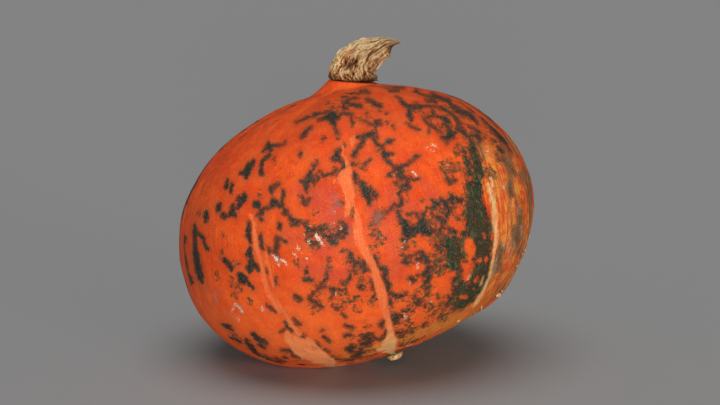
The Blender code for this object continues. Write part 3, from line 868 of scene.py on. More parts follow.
SMUDGES: Strokes = (
    (274, 158, 0.6, 275, 161, 0.8), (338, 134, 1.6, 338, 136, 2),
    (358, 119, 0.8, 361, 119.5, 1.1, 365, 120, 0.7), (367, 113, 0.9, 370, 114.5, 1, 371, 116, 0.7),
    (328, 103, 0.8), (333, 106, 0.8), (322, 140, 0.7, 324, 138, 0.6), (345, 146, 1),
    (381, 107, 0.9, 380, 110, 0.8), (388, 123, 0.8), (378, 151, 0.8, 376, 152, 0.6),
    (459, 147, 3, 460, 151, 3.4, 457, 152, 3), (447, 165, 5, 452, 168, 5, 446, 170, 4),
    (484, 135, 2, 485, 137, 1.4), (491, 140, 1.5, 492, 143, 1.2),
    (465, 151, 1.8, 471, 151, 3, 472, 157, 3), (498, 153, 3, 500, 158, 3),
    (198, 213, 0.6, 200.5, 214, 0.7), (224, 234, 0.7, 223.5, 237, 0.8), (221, 252, 0.7, 222, 258, 0.6),
    (260, 193, 1, 260, 196, 1), (300.5, 197, 0.7), (315, 213, 1.2),
    (357, 165, 2.2, 362, 166, 2.6, 365, 168, 1.8), (356, 184, 1.4, 355, 188, 1.2),
    (351, 209, 1.2, 351, 212, 1.6, 352, 217, 1.5), (341, 202, 1.6, 336, 203, 1.2), (422, 201, 1.6),
    (433, 209, 2, 439, 213, 3, 443, 218, 2.6), (380, 213, 4, 377, 219, 4, 376, 225, 2.6),
    (377, 224, 2.5, 376, 228, 2), (370, 224, 1.6, 371, 228, 1.5),
    (375, 245, 1.2, 378, 246, 1.6, 379, 243, 1.2), (370, 247, 1.6, 370, 250, 1),
    (379, 234, 2.6, 381, 239, 3.4), (405, 243, 3, 408, 247, 2, 403, 248, 1.6), (358, 262, 3, 360, 271, 2),
    (432, 255, 1.8, 436, 258, 2, 440, 264, 2, 441, 270, 2.4, 437, 272, 2, 444, 271, 1.6, 440, 274, 1),
    (428, 286, 2.5, 426, 290, 2, 429, 292, 1.6), (430, 240, 1.8, 434, 243, 2, 437, 239, 2),
    (437, 296, 1.6, 440, 297, 1.5), (443, 301, 1.5, 442, 304, 1.2),
    (414, 300, 1.4, 423, 300, 2, 430, 304, 2), (443, 313, 3, 445, 318, 2.4),
    (409, 322, 1, 408, 327, 2, 410, 332, 2, 414, 326, 1.2), (428, 323, 0.9), (236, 262, 1, 238, 265, 0.9),
    (232, 278, 0.7, 232, 282, 0.9, 233, 285, 1.4, 236, 285, 1.1, 238, 288, 1.1, 239.5, 290, 0.9),
    (235, 295, 1.8), (216, 273, 0.6, 217, 278, 0.6), (250, 300, 0.8, 251, 303, 0.8),
    (268, 269, 0.9, 268, 272, 0.8), (295, 262, 1.6, 297, 264, 1.2), (326, 226.5, 1.6, 346, 230, 1.2),
    (307, 224, 2.4, 311, 231, 3.4, 318, 231, 3.4, 323, 229, 2.4),
    (310, 240, 2.8, 316, 245, 2.6, 313, 248, 1.6), (329, 260, 1.5, 328, 263, 1.8, 328, 267, 1.4),
    (343, 250, 1.6), (344, 293, 1, 346, 295, 0.8, 350, 297, 0.9), (282, 311, 1.6, 283, 313, 1.2),
    (235, 336, 0.8, 238.5, 339, 0.9), (230, 338, 0.9, 232, 341, 0.9),
    (313, 306, 1.2, 313, 309, 1.6, 314, 312, 1.1), (341, 304, 1, 343, 306, 1.3, 344, 302, 1.1),
    (347, 297, 1.2, 350, 300, 1.2, 352, 301, 1), (356, 297, 1, 358, 296, 0.8),
    (353, 308, 0.7, 359, 310, 1.2),
    (373, 298, 1.2, 374, 300, 1.8, 373, 303, 2, 374, 305, 1.2, 371, 303, 1), (367, 325, 1.4),
    (350, 335.5, 0.6, 354, 336.5, 0.7), (391, 309, 1), (303, 337, 2.4), (350, 276, 1.2, 350.5, 273, 1),
    (360, 284, 1.2, 362, 287, 2, 364, 290, 1.2), (392, 293, 1.6, 396, 295, 2.2, 401, 295, 2.2),
    (307, 275, 0.7, 307, 271, 0.9), (369, 266, 1.2, 371, 271, 0.9),
    (476, 167, 3, 484, 170, 4, 492, 173, 3), (458, 166, 3, 462, 170, 3), (466, 160, 3, 468, 168, 3),
    (437, 231, 2, 440, 236, 1.4), (414, 243, 1.2, 418, 246, 1),
)

MURKY_ZONES: Strokes = (
    (468, 138, 4, 474, 152, 6, 478, 168, 7, 474, 182, 9, 462, 200, 13, 455, 215, 14, 446, 235, 13,
     440, 255, 11, 436, 268, 8, 428, 281, 6, 424, 296, 9, 414, 305, 8),
    (404, 222, 8, 412, 230, 10, 424, 226, 10, 436, 220, 8), (445, 167, 6, 455, 172, 6, 449, 180, 5),
    (445, 306, 9, 430, 312, 7, 440, 318, 6), (406, 318, 8, 412, 331, 6, 400, 333, 6), (396, 318, 7),
    (455, 300, 8, 463, 290, 8), (390, 296, 4, 404, 296, 4), (366, 340, 9, 356, 351, 8), (385, 334, 3),
    (308, 228, 7, 322, 234, 9, 340, 234, 6, 333, 243, 5), (402, 176, 7, 402, 200, 5), (366, 194, 6),
    (404, 252, 5, 408, 262, 6), (372, 225, 6, 377, 244, 5, 378, 262, 3, 385, 276, 4, 389, 290, 4),
    (353, 262, 8, 364, 284, 5), (330, 268, 3, 322, 286, 5, 314, 296, 6, 318, 306, 6),
    (342, 290, 7, 336, 304, 6), (350, 299, 5, 374, 302, 4), (440, 208, 7, 450, 198, 6),
    (444, 124, 7, 448, 136, 6, 460, 130, 6, 474, 137, 6), (346, 104, 7, 330, 116, 6),
    (412, 108, 5, 430, 118, 6), (448, 108, 7, 466, 116, 7, 484, 122, 6, 500, 140, 7),
)

OLIVE_ZONE: Strokes = (
    (463, 148, 1.6, 466, 158, 3, 469, 168, 3.4, 471, 178, 4, 470, 188, 5),
    (448, 239, 4, 449, 247, 5, 450, 255, 5, 452, 262, 4), (360, 352, 0.8, 370, 350.5, 1, 380, 350, 1),
    (350, 360, 0.6, 380, 354, 0.9), (400, 345, 1.4, 410, 343, 1, 424, 338, 1),
    (478, 206, 8, 481, 218, 9, 482, 234, 10, 482, 250, 9.4, 480, 268, 9, 476, 284, 8, 469, 297, 6.4,
     460, 306, 4.4), (452, 266, 4, 457, 282, 6, 461, 297, 6),
    (470, 138, 2, 474, 150, 3, 477, 164, 4, 482, 176, 3), (486, 226, 6, 487, 244, 5.4, 485, 270, 4),
    (464, 234, 4, 463, 250, 3.4, 465, 260, 3),
    (471, 146, 1.6, 477, 180, 4, 477, 192, 6, 474, 202, 9, 474, 211, 11, 477, 221, 13, 478, 232, 13,
     480, 244, 12, 483, 256, 9, 483, 268, 8, 480, 280, 8, 476, 290, 6, 472, 296, 3.6),
    (455, 243, 7.6, 455, 254, 8.4, 455, 262, 7, 459, 270, 3.6, 461, 276, 2.4),
    (462, 284, 5, 463, 291, 5, 458, 291, 4, 470, 291, 4), (454, 304, 3, 459, 304, 3),
)

ORANGE_ISLANDS: Strokes = (
    (452, 223, 5.2, 457, 225, 5.6), (469, 242, 4.6, 470, 248, 6.3, 472, 253, 4.2),
    (466, 267, 2.6, 468, 271, 1.8), (476, 262, 1.6, 480, 260, 2.6), (486, 260, 2.6, 486, 258, 2),
    (473, 265, 1.6, 471, 272, 1.4), (478, 277, 1.4, 476, 281, 2.6), (474, 289, 1.5),
    (448, 276, 4, 453, 274, 3.6), (441, 286, 7.4, 446, 290, 5.6), (458, 188, 4.6, 459, 191, 4.2),
    (459, 211, 5.4), (458, 175, 3.6), (470, 178, 2.8), (461, 297, 2.6, 466, 297, 2.4),
    (484, 234, 1.4, 485, 238, 1.2), (456, 284, 2), (465, 200, 1.6), (468, 277, 1.2),
)

WEATHERED: Strokes = (
    (474, 134, 3, 482, 146, 7, 490, 158, 9, 498, 172, 12, 506, 186, 16, 508, 202, 18, 514, 240, 16,
     508, 256, 14, 500, 272, 13, 490, 288, 12, 478, 301, 9, 462, 313, 8, 446, 322, 7, 430, 329, 6,
     414, 334, 5, 404, 340, 4), (494, 134, 2.4, 508, 156, 6, 520, 180, 9),
)

OCHRE_SKIN: Strokes = (
    (396, 341, 2.2, 410, 337, 3, 440, 326, 4.8, 456, 318, 5, 470, 309, 4.6, 482, 300, 4, 492, 288, 3),
    (366, 349, 0.8, 374, 348, 1.6, 381, 346, 2), (344, 356, 0.6, 358, 355, 0.7, 370, 353, 0.8),
    (404, 340, 2, 412, 337, 2.4), (485, 141, 1.5, 491, 155, 4.5, 493, 163, 5, 495, 170, 4),
    (492, 144, 1.5, 497, 150, 2, 500, 154, 1.5), (484, 165, 1.5, 486, 171, 2),
    (499, 165, 2, 502, 171, 3.5, 503, 178, 3.2, 503, 184, 2),
    (497, 184, 3, 500, 191, 5, 502, 200, 6, 502, 208, 6, 504, 226, 6.4, 505, 234, 5, 507, 242, 3),
    (484, 182, 2, 486, 190, 2.4, 488, 200, 2), (517, 180, 2, 519, 188, 3.4, 521, 205, 2),
    (514, 160, 1, 518, 170, 1.2), (525, 206, 1.5, 526, 214, 2.4, 527, 224, 2, 526, 232, 2),
    (527, 228, 1, 525, 238, 1.5, 522, 246, 1), (509, 250, 3, 505, 268, 2),
    (513, 200, 1.4, 514, 212, 1.4, 514, 222, 1.2),
    (516, 256, 2, 513, 263, 3, 509, 270, 3.4, 505, 275, 3, 500, 279, 2.4),
    (497, 276, 2, 494, 283, 3, 489, 290, 3, 478, 303, 2.2),
)

BARK_STREAKS: Strokes = (
    (516, 200, 3, 518, 210, 4, 518, 220, 4, 519, 230, 3.4, 518, 240, 3.4),
    (512, 232, 2, 511, 240, 2, 511, 248, 2.4, 512, 256, 2),
    (501, 245, 2, 499, 254, 2.4, 500, 262, 2.4, 500, 270, 2),
    (495, 268, 2, 493, 276, 2.4, 490, 284, 2, 486, 292, 1.4),
    (507, 178, 2.4, 510, 186, 3.4, 511, 194, 3, 511, 200, 2),
    (500, 152, 3, 503, 158, 4, 508, 164, 4, 512, 172, 3),
    (474, 146, 3, 478, 158, 4, 480, 170, 4, 481, 184, 3),
    (522, 168, 1.5, 526, 180, 1.5, 529, 194, 1.5, 531, 208, 1), (487, 170, 3, 490, 176, 2),
)

ASH_STREAKS: Strokes = (
    (518, 204, 0.5, 518.6, 214, 0.6), (513, 232, 0.6, 510.5, 249, 0.8), (521, 226, 1.2, 521, 236, 1),
    (506.5, 243, 0.8, 505, 248, 0.8), (522, 247, 1, 520, 252, 1),
    (496, 258, 0.6, 494, 268, 0.6, 491, 276, 0.7, 487, 284, 0.6), (514, 242, 0.8, 515, 250, 0.8),
    (502, 183, 0.7, 504, 188, 0.8), (488, 151, 0.8), (484, 168, 0.7), (509, 253, 0.5, 508, 259, 0.5),
)

STRIPES: Strokes = (
    (250.5, 215, 1.5, 252.5, 219, 1.8, 254.5, 225, 1.8, 255.5, 240, 2.1, 257, 250, 2.4, 260, 257, 1.8,
     262, 264, 1.4, 264, 276, 2, 267, 288, 2.4, 269, 294, 2.4, 272, 299, 2.4, 275.5, 303, 3.4,
     278, 307, 3.6, 281.5, 310, 3), (283, 308, 1.4, 291, 325, 1.9, 300, 334, 2),
    (266, 252, 1, 267.5, 264, 0.8, 270, 270, 0.9, 273, 284, 1, 274, 288, 0.6),
    (286, 333, 2, 290, 339, 5, 297, 344, 7, 305, 346, 7, 309, 343, 4),
    (297, 347, 6, 306, 352, 7, 315, 357, 6.5, 325, 361, 4.5, 336, 364, 2.4, 345, 364.5, 1),
    (307, 339, 1.4, 313, 344, 2, 325, 356, 2.4, 333, 361, 2),
    (347.5, 162, 1, 348.5, 169, 2.4, 347, 173, 5, 345, 176, 6.4, 344.5, 179, 6.6, 346.2, 183, 6.6,
     348, 188, 6, 349.6, 198, 5.4, 350, 203, 4.4, 348, 208, 3.4, 347, 213, 2.4, 346, 216, 1.4),
    (342.7, 147, 0.7, 343, 151, 1, 344, 156, 1, 346, 160, 1.3, 348, 166, 1.2),
    (341, 177, 1.6, 337, 179, 1, 334, 183, 0.8),
    (356, 209, 1.5, 357.5, 220, 3, 357.5, 226, 4.2, 358.5, 235, 4.8, 361, 242, 4.8, 364, 249, 4.4,
     371.5, 263, 3.4, 375, 271, 3.6, 380, 288, 4.4, 382, 297, 4.4, 388.5, 322, 2.8, 389.5, 328, 2.7,
     391, 334, 3.4, 391, 340, 5, 389, 345, 7, 389, 348, 6), (383, 349, 3, 378, 349.5, 1.8),
    (394, 348, 2.6), (354, 136, 1.5, 353, 140, 3, 351.5, 144, 2.2),
    (488, 184, 1.5, 489, 186, 2, 491.5, 196, 2.4, 494, 208, 2.4, 494, 214, 2.4, 495.5, 227, 2.4,
     496.2, 233, 1.8, 496, 240, 1.3, 493.5, 256, 1.2, 490.8, 271, 0.9, 489, 278, 0.9, 482, 293, 1.5,
     476, 303, 1.4, 473, 307, 1), (483.5, 277, 0.6, 480, 285, 0.6), (491, 178, 0.9, 493, 186, 1),
)

CREAM_SCARS: Strokes = (
    (272, 254, 0.9, 273, 256, 0.8), (275.5, 259, 1.5, 277, 258, 1.7, 278, 263, 1, 279, 265, 0.7),
    (281, 260, 0.8, 284, 261, 0.9, 287.5, 265, 0.6), (297, 246, 0.6, 299, 247.5, 0.8, 298, 249.5, 0.7),
    (292, 253, 0.7, 295, 252.5, 0.8, 295, 254.5, 0.9, 296, 256.5, 0.9), (302.5, 253, 0.6),
    (306, 257.5, 0.8, 307, 259, 0.6), (295.5, 268, 0.6), (304, 233, 0.7),
    (316.5, 235, 1.5, 318, 238, 1.8, 322, 243.5, 1.4, 323.5, 245, 0.9),
    (309, 239.5, 0.8, 308, 241, 0.9, 310, 244, 0.7), (310, 226, 0.8), (331, 226, 0.7, 334, 222.5, 0.5),
    (335.5, 232, 0.7), (341.5, 227, 0.6, 341, 229.5, 0.5), (334.5, 212, 0.8), (380, 237.5, 0.9),
    (431, 144.5, 0.7, 434, 145, 0.8, 436, 146, 0.7), (427, 147, 0.8), (431, 150, 0.8, 432.5, 151, 1.1),
    (488, 151, 1), (447, 165, 0.9), (503, 187, 1, 504, 189, 0.8), (518, 207, 0.8),
    (232.5, 311, 0.7, 233, 308, 0.7, 234.5, 305.5, 0.8, 236.5, 304, 1), (238, 305.5, 0.8, 242, 312, 1.1),
    (238, 319, 1.1, 238.5, 321, 0.9), (262, 306, 0.8, 263, 311, 0.7),
    (250, 353, 0.6, 255, 356, 0.7, 270, 362.5, 0.7), (336, 293, 0.9, 336, 295, 0.7),
    (418, 268, 1, 418, 264, 0.8), (410, 283, 0.9), (402, 247, 0.9), (404, 242, 0.8),
    (404, 313, 0.8, 406, 318, 0.9, 407, 316, 0.8), (431, 301, 0.9), (394, 174, 0.6),
    (413, 172, 0.8, 417, 176, 0.8), (326, 366, 0.7, 335, 366, 0.8), (301, 357, 0.9, 302, 358, 0.8),
    (470, 275, 0.6, 468, 279, 0.5), (504, 246, 0.7), (412, 344.5, 0.6, 407, 346, 0.6),
)

SCUFFS: Strokes = (
    (218, 292, 2, 216, 297, 2.5, 215, 301, 2.2), (207, 288, 1, 207, 292, 1), (228, 313, 1.2, 229, 315, 1),
    (241, 312, 2, 240, 306, 1.6), (280.5, 258, 1.6), (335, 195, 3, 337, 205, 4), (332, 210, 3),
    (350, 230, 2), (378, 216, 4, 377, 223, 3), (503, 187, 1.2), (264, 343, 1), (235, 318, 1.6),
)

# Purplish haze over the middle of the front, partly the rind's waxy bloom and partly a painted soft sheen
# of the lamps.
BLOOM_AND_SHEEN_STROKES: Strokes = (
    (390, 190, 7, 393, 202, 9, 397, 216, 9), (424, 182, 6, 432, 192, 8, 438, 204, 6),
    (374, 205, 7, 384, 224, 9, 394, 250, 8, 398, 272, 8), (326, 192, 10, 342, 212, 10, 350, 238, 8),
    (300, 264, 8, 330, 276, 9, 352, 270, 6), (412, 204, 7, 424, 226, 8), (284, 232, 7, 300, 246, 6),
    (300, 190, 10, 322, 200, 16, 332, 222, 16, 322, 250, 12), (372, 212, 9, 376, 236, 9),
    (409, 260, 2.4, 411, 251, 3), (350, 240, 3, 341, 255, 6), (325, 235, 10, 300, 235, 8),
)

STROKES: dict[Mark, Strokes] = {
    Mark.MOTTLE: (
        MOTTLES_UPPER_LEFT + MOTTLES_UNDER_STEM + MOTTLES_CROWN + MOTTLES_LEFT + MOTTLES_LOWER_LEFT
        + MOTTLES_CENTRE + MOTTLES_RIGHT + MOTTLES_BELOW_RIGHT + MOTTLES_LOWER_CENTRE
    ),
    Mark.FUZZ: SMUDGES,
    Mark.MURK: MURKY_ZONES,
    Mark.OLIVE: OLIVE_ZONE,
    Mark.ISLAND: ORANGE_ISLANDS,
    Mark.OCHRE: OCHRE_SKIN,
    Mark.BARK: BARK_STREAKS,
    Mark.ASH: ASH_STREAKS,
    Mark.WEATHER: WEATHERED,
    Mark.STRIPE: STRIPES,
    Mark.CREAM: CREAM_SCARS,
    Mark.SCUFF: SCUFFS,
    Mark.BLOOM_AND_SHEEN: BLOOM_AND_SHEEN_STROKES,
}


@dataclass(frozen=True)
class MarkReader:
    """Reads how far inside the strokes of the photograph each point of the rind lies."""

    view: PhotoView
    reach: float = 16.0
    waver: float = 0.9
    waver_size: float = 0.0034
    fade: tuple[float, float] = (0.10, 0.26)
    fade_waver: float = 0.8
    fade_waver_size: float = 0.016
    outside: float = -9.0

    def inside(self, pixels: Array, strokes: Strokes) -> Array:
        """Measure against every stroke.

        Args:
            pixels: Places in the photograph, one pair a row.
            strokes: The strokes, each a chain of round ends and the straight runs between them.

        Returns:
            For each place, the most pixels by which it lies inside a stroke, negative outside.
        """
        best = np.full(len(pixels), -self.reach)
        for stroke in strokes:
            chain = np.reshape(stroke if len(stroke) > 3 else stroke * 2, (-1, 3)).astype(float)
            low = chain[:, :2].min(axis=0) - self.reach
            high = chain[:, :2].max(axis=0) + self.reach
            near = np.flatnonzero(np.all((pixels > low) & (pixels < high), axis=1))
            place = pixels[near]
            for (u1, v1, r1), (u2, v2, r2) in zip(chain, chain[1:]):
                run = np.array((u2 - u1, v2 - v1))
                length = max(float(run @ run), 1e-6)
                share = np.clip(((place - (u1, v1)) @ run) / length, 0.0, 1.0)
                off = np.linalg.norm(place - (u1, v1) - share[:, None] * run, axis=1)
                best[near] = np.maximum(best[near], r1 + (r2 - r1) * share - off)
        return best

    def read(self, points: Array, normals: Array) -> tuple[Array, dict[Mark, Array]]:
        """Read all kinds of marks.

        Args:
            points: The rind's points, one a row.
            normals: Their outward unit normals.

        Returns:
            How surely each point is seen by the camera, 0 to 1, and for each kind of mark how far
            inside it each point lies, in millimetres, for the points that are seen.
        """
        ragged = self.fade_waver * np.maximum(rough_noise(points / self.fade_waver_size, 2, 7.3), 0.0)
        seen = soft_step(self.view.facing(points, normals) + ragged, *self.fade)
        waver = [rough_noise(points / self.waver_size, 2, seed) for seed in (5.1, 9.4)]
        pixels = self.view.pixels(points) + self.waver * np.column_stack(waver)
        return seen, {kind: PIXEL_MM * self.inside(pixels, strokes) for kind, strokes in STROKES.items()}


@dataclass
class Fruit:
    """The squash: a finely divided ball moved out to the fruit's form, with its marks laid on it.

    Sizes are in metres, angles in degrees, and depths of marks in millimetres.
    """

    form: FruitForm
    view: PhotoView
    cuts: tuple[int, int] = (31, 3)
    front_crowding: float = 0.42
    pole_crowding: float = 0.34
    unevenness: float = 0.00035
    unevenness_size: float = 0.016
    stripe_span: tuple[float, float] = (50.0, 154.7)
    stripe_width: tuple[float, float] = (0.5, 2.3)
    stripe_fade: tuple[float, float] = (32.81, 72.92)
    stripe_faded: float = 2.5
    stripe_waver: float = 1.1
    stripe_waver_size: float = 0.014
    streak_fineness: float = 9.0
    streak_shortness: float = 1.6
    streak_depth: float = 9.0
    weathered_side: tuple[float, float] = (104.0, 30.0)
    weathered_reach: float = 52.0
    weathered_slope: float = 1.75
    weathered_edge: tuple[tuple[float, float, int, float], ...] = (
        (18.0, 0.024, 3, 4.2), (10.0, 0.007, 2, 9.4),
    )
    lush_toward: tuple[float, float, float] = (0.75, 0.45, 0.25)

    def unit_ball(self) -> Piece:
        """Add a cube and divide its six faces.

        Returns:
            The cube, with its faces in a fine grid.
        """
        deselect()
        bpy.ops.mesh.primitive_cube_add(size=2.0, location=(0.0, 0.0, 0.0))
        piece = bpy.context.object
        piece.name = piece.data.name = "fruit_rind"
        bpy.ops.object.mode_set(mode="EDIT")
        bpy.ops.mesh.select_all(action="SELECT")
        for cut in self.cuts:
            bpy.ops.mesh.subdivide(number_cuts=cut)
        bpy.ops.object.mode_set(mode="OBJECT")
        return piece

    def crowd(self, unit: Array, axis: int, sign: float, share: float, poles: bool) -> Array:
        """Move a ball's points closer to one end of an axis, or to both.

        Args:
            unit: Points of a unit sphere, one a row.
            axis: The number of the axis.
            sign: Which end of it, 1 or -1.
            share: How much closer.
            poles: True to crowd at both ends alike.

        Returns:
            Points of the unit sphere.
        """
        angle = np.arccos(np.clip(sign * unit[:, axis], -1.0, 1.0))
        moved = angle - (0.5 * share * np.sin(2.0 * angle) if poles else share * np.sin(angle))
        others = [k for k in range(3) if k != axis]
        crowded = unit.copy()
        crowded[:, others] *= (np.sin(moved) / np.maximum(np.sin(angle), 1e-9))[:, None]
        crowded[:, axis] = sign * np.cos(moved)
        return crowded

    def unit_points(self, cube: Array) -> Array:
        """Round the cube's grid out to a unit sphere, denser in front and at both poles.

        Args:
            cube: Points of the cube, one a row.

        Returns:
            Points of the unit sphere.
        """
        even = np.tan(np.clip(cube, -1.0, 1.0) * math.pi / 4.0)
        unit = even / np.linalg.norm(even, axis=1, keepdims=True)
        unit = self.crowd(unit, 2, 1.0, self.pole_crowding, True)
        return self.crowd(unit, 1, -1.0, self.front_crowding, False)

    def own_stripes(self, polar: Array, longitude: Array, places: Array) -> Array:
        """Lay a pale stripe in every furrow, for the sides that the photograph doesn't show.

        Args:
            polar: Angle of each point from the stem, in radians.
            longitude: Its angle round the fruit.
            places: The points themselves, one a row.

        Returns:
            How far inside the nearest stripe each point lies, in millimetres.
        """
        furrows = np.radians(np.array(self.form.furrow_longitudes))
        off = (longitude[:, None] - furrows + math.pi) % (2.0 * math.pi) - math.pi
        away = np.abs(off).min(axis=1) * np.sin(polar) * self.form.equator_radius * MM_PER_METRE
        narrow, wide = self.stripe_width
        width = narrow + (wide - narrow) * soft_step(np.degrees(polar), *self.stripe_span)
        width += self.stripe_waver * rough_noise(places / self.stripe_waver_size, 2, 2.6)
        width -= self.stripe_faded * (1.0 - soft_step(np.degrees(polar), *self.stripe_fade))
        return width - away

    def own_streaks(self, polar: Array, longitude: Array, seed: float, share: float) -> Array:
        """Lay long streaks from the stem to the blossom.

        Args:
            polar: Angle of each point from the stem, in radians.
            longitude: Its angle round the fruit.
            seed: Moves the streaks.
            share: How much of the rind they cover, 0 for half of it.

        Returns:
            How far inside the nearest streak each point lies, in millimetres.
        """
        around = self.streak_fineness * np.column_stack([np.sin(longitude), np.cos(longitude)])
        places = np.column_stack([around, self.streak_shortness * polar])
        return self.streak_depth * (rough_noise(places, 3, seed) + share)

    def own_weathering(self, points: Array) -> Array:
        """Weather one side of the rind, with a ragged edge.

        Args:
            points: Points of the rind, one a row.

        Returns:
            How far inside the weathered side each point lies, in millimetres.
        """
        bearing, back = (math.radians(angle) for angle in self.weathered_side)
        toward = (math.sin(bearing) * math.cos(back), math.sin(back), math.cos(bearing) * math.cos(back))
        unit = points - points.mean(axis=0)
        unit /= np.linalg.norm(unit, axis=1, keepdims=True)
        angle = np.degrees(np.arccos(np.clip(unit @ np.array(toward), -1.0, 1.0)))
        ragged = sum(
            depth * rough_noise(points / size, octaves, seed)
            for depth, size, octaves, seed in self.weathered_edge
        )
        return (self.weathered_reach - angle) * self.weathered_slope + ragged

    def lay_marks(self, piece: Piece, unit: Array) -> None:
        """Store where each kind of mark lies, for the material to read.

        Args:
            piece: The finished form.
            unit: Its points on the unit sphere, one a row.
        """
        points = vertex_places(piece)
        polar = np.arccos(np.clip(unit[:, 2], -1.0, 1.0))
        longitude = np.arctan2(unit[:, 0], -unit[:, 1])
        seen, marks = MarkReader(self.view).read(points, vertex_normals(piece))
        unseen = {kind: np.full(len(points), MarkReader.outside) for kind in marks}
        unseen[Mark.STRIPE] = self.own_stripes(polar, longitude, points)
        unseen[Mark.WEATHER] = self.own_weathering(points)
        for kind, seed, share in ((Mark.OCHRE, 3.1, 0.08), (Mark.BARK, 7.7, -0.05), (Mark.ASH, 5.2, -0.4)):
            unseen[kind] = np.minimum(unseen[Mark.WEATHER], self.own_streaks(polar, longitude, seed, share))
        for kind, inside in marks.items():
            keep(piece, kind.value, inside * seen + unseen[kind] * (1.0 - seen))
        keep(piece, "seen", seen)
        toward = self.form.directions(unit)
        for name, end in (("from_stem", 1.0), ("from_blossom", -1.0)):
            pole = self.form.directions(np.array([[0.0, 0.0, end]]))
            angle = np.arccos(np.clip(toward @ pole[0], -1.0, 1.0))
            keep(piece, name, angle * self.form.plain_radius(pole)[0] * MM_PER_METRE)
        keep(piece, "grain", np.column_stack([np.sin(longitude), -np.cos(longitude), polar]))
        keep(piece, "lush", 0.5 + 0.5 * np.clip(unit @ np.array(self.lush_toward), -1.0, 1.0))

    def build(self) -> Piece:
        """Model the fruit.

        Returns:
            The finished piece, dressed and tied to its body.
        """
        piece = self.unit_ball()
        unit = self.unit_points(vertex_places(piece))
        places = unit * self.form.equator_radius / self.unevenness_size
        uneven = self.unevenness * rough_noise(places, 3, 3.7)
        points = self.form.surface(unit, uneven) - self.form.flat_spot()
        move_vertices(piece, self.form.flatten(points))
        self.lay_marks(piece, unit)
        piece.data.materials.append(RindFinish().build())
        settle_piece(piece, Slot.RIND, "fruit")
        return piece


class RindGrain:
    """What the rind's colours are broken up by: noises, and the zones that the layers share."""

    def __init__(self, graph: Graph) -> None:
        """Add the noises, from the broadest to the finest, and the shared zones.

        Args:
            graph: The rind's material.
        """
        self.graph = graph
        self.place = graph.place()
        self.x, self.z = graph.axis(self.place, "X"), graph.axis(self.place, "Z")
        self.seen, self.lush = graph.number("seen"), graph.number("lush")
        self.broad = graph.cloud(self.place, scale=38.0, detail=3.0)
        self.patch = graph.cloud(self.place, scale=170.0, detail=3.0, roughness=0.55)
        self.coarse = graph.cloud(self.place, scale=480.0, detail=3.0, roughness=0.7)
        self.fine = graph.cloud(self.place, scale=1250.0, detail=3.0, roughness=0.65)
        self.dust = graph.cloud(self.place, scale=1900.0, detail=2.0, roughness=0.7)
        self.streak = self.lengthwise(across=52.0, along=3.2, detail=3.0, roughness=0.6)
        self.hair = self.lengthwise(across=190.0, along=8.0, detail=3.0, roughness=0.65)
        self.thread = self.lengthwise(across=260.0, along=11.0, detail=2.0, roughness=0.6)
        self.jag = (self.coarse - 0.5) * 4.2 + (self.fine - 0.5) * 2.6
        # Painted light: the lower part, most of all on the right, brightened to stand in for light from
        # below.
        self.painted_underlight = self.z.fall(0.02, 0.085) * (self.x.step(-0.06, -0.01) * 0.45 + 0.55)
        worn = self.mark(Mark.WEATHER) + self.jag * 1.2 + (self.streak - 0.5) * 10.0
        self.weather = worn.step(-1.5, 2.5)
        self.island = self.mark(Mark.ISLAND) * -1.0 + 0.5 - self.jag * 0.6

    def lengthwise(self, across: float, along: float, detail: float, roughness: float) -> Signal:
        """Noise drawn out from the stem to the blossom."""
        drawn = self.graph.stretch(self.graph.vector("grain"), (across, across, along))
        return self.graph.cloud(drawn, 1.0, detail, roughness)

    def mark(self, kind: Mark) -> Signal:
        """How far inside the marks of one kind a place lies, in millimetres."""
        return self.graph.number(kind.value)


class MottleNet(NamedTuple):
    """A net of cells whose walls are mottles of uneven width, for the sides that aren't seen."""

    shift: tuple[float, float, float]
    warp: float
    push: float
    cells: float
    wall_mm: float
    patches: float
    bare: float
    swing_mm: float
    widest_mm: float

    def inside(self, grain: RindGrain) -> Signal:
        """How far inside a wall of the net a place lies, in millimetres.

        Args:
            grain: The noises and zones.

        Returns:
            The depth inside the wall, negative outside.
        """
        graph = grain.graph
        shifted = graph.warp(graph.stretch(grain.place, (1.0, 1.0, 1.0), self.shift), self.warp, self.push)
        width = (graph.cloud(grain.place, self.patches) - self.bare + grain.lush * 0.10) * self.swing_mm
        return width.below(self.widest_mm) - graph.walls(shifted, self.cells) * self.wall_mm


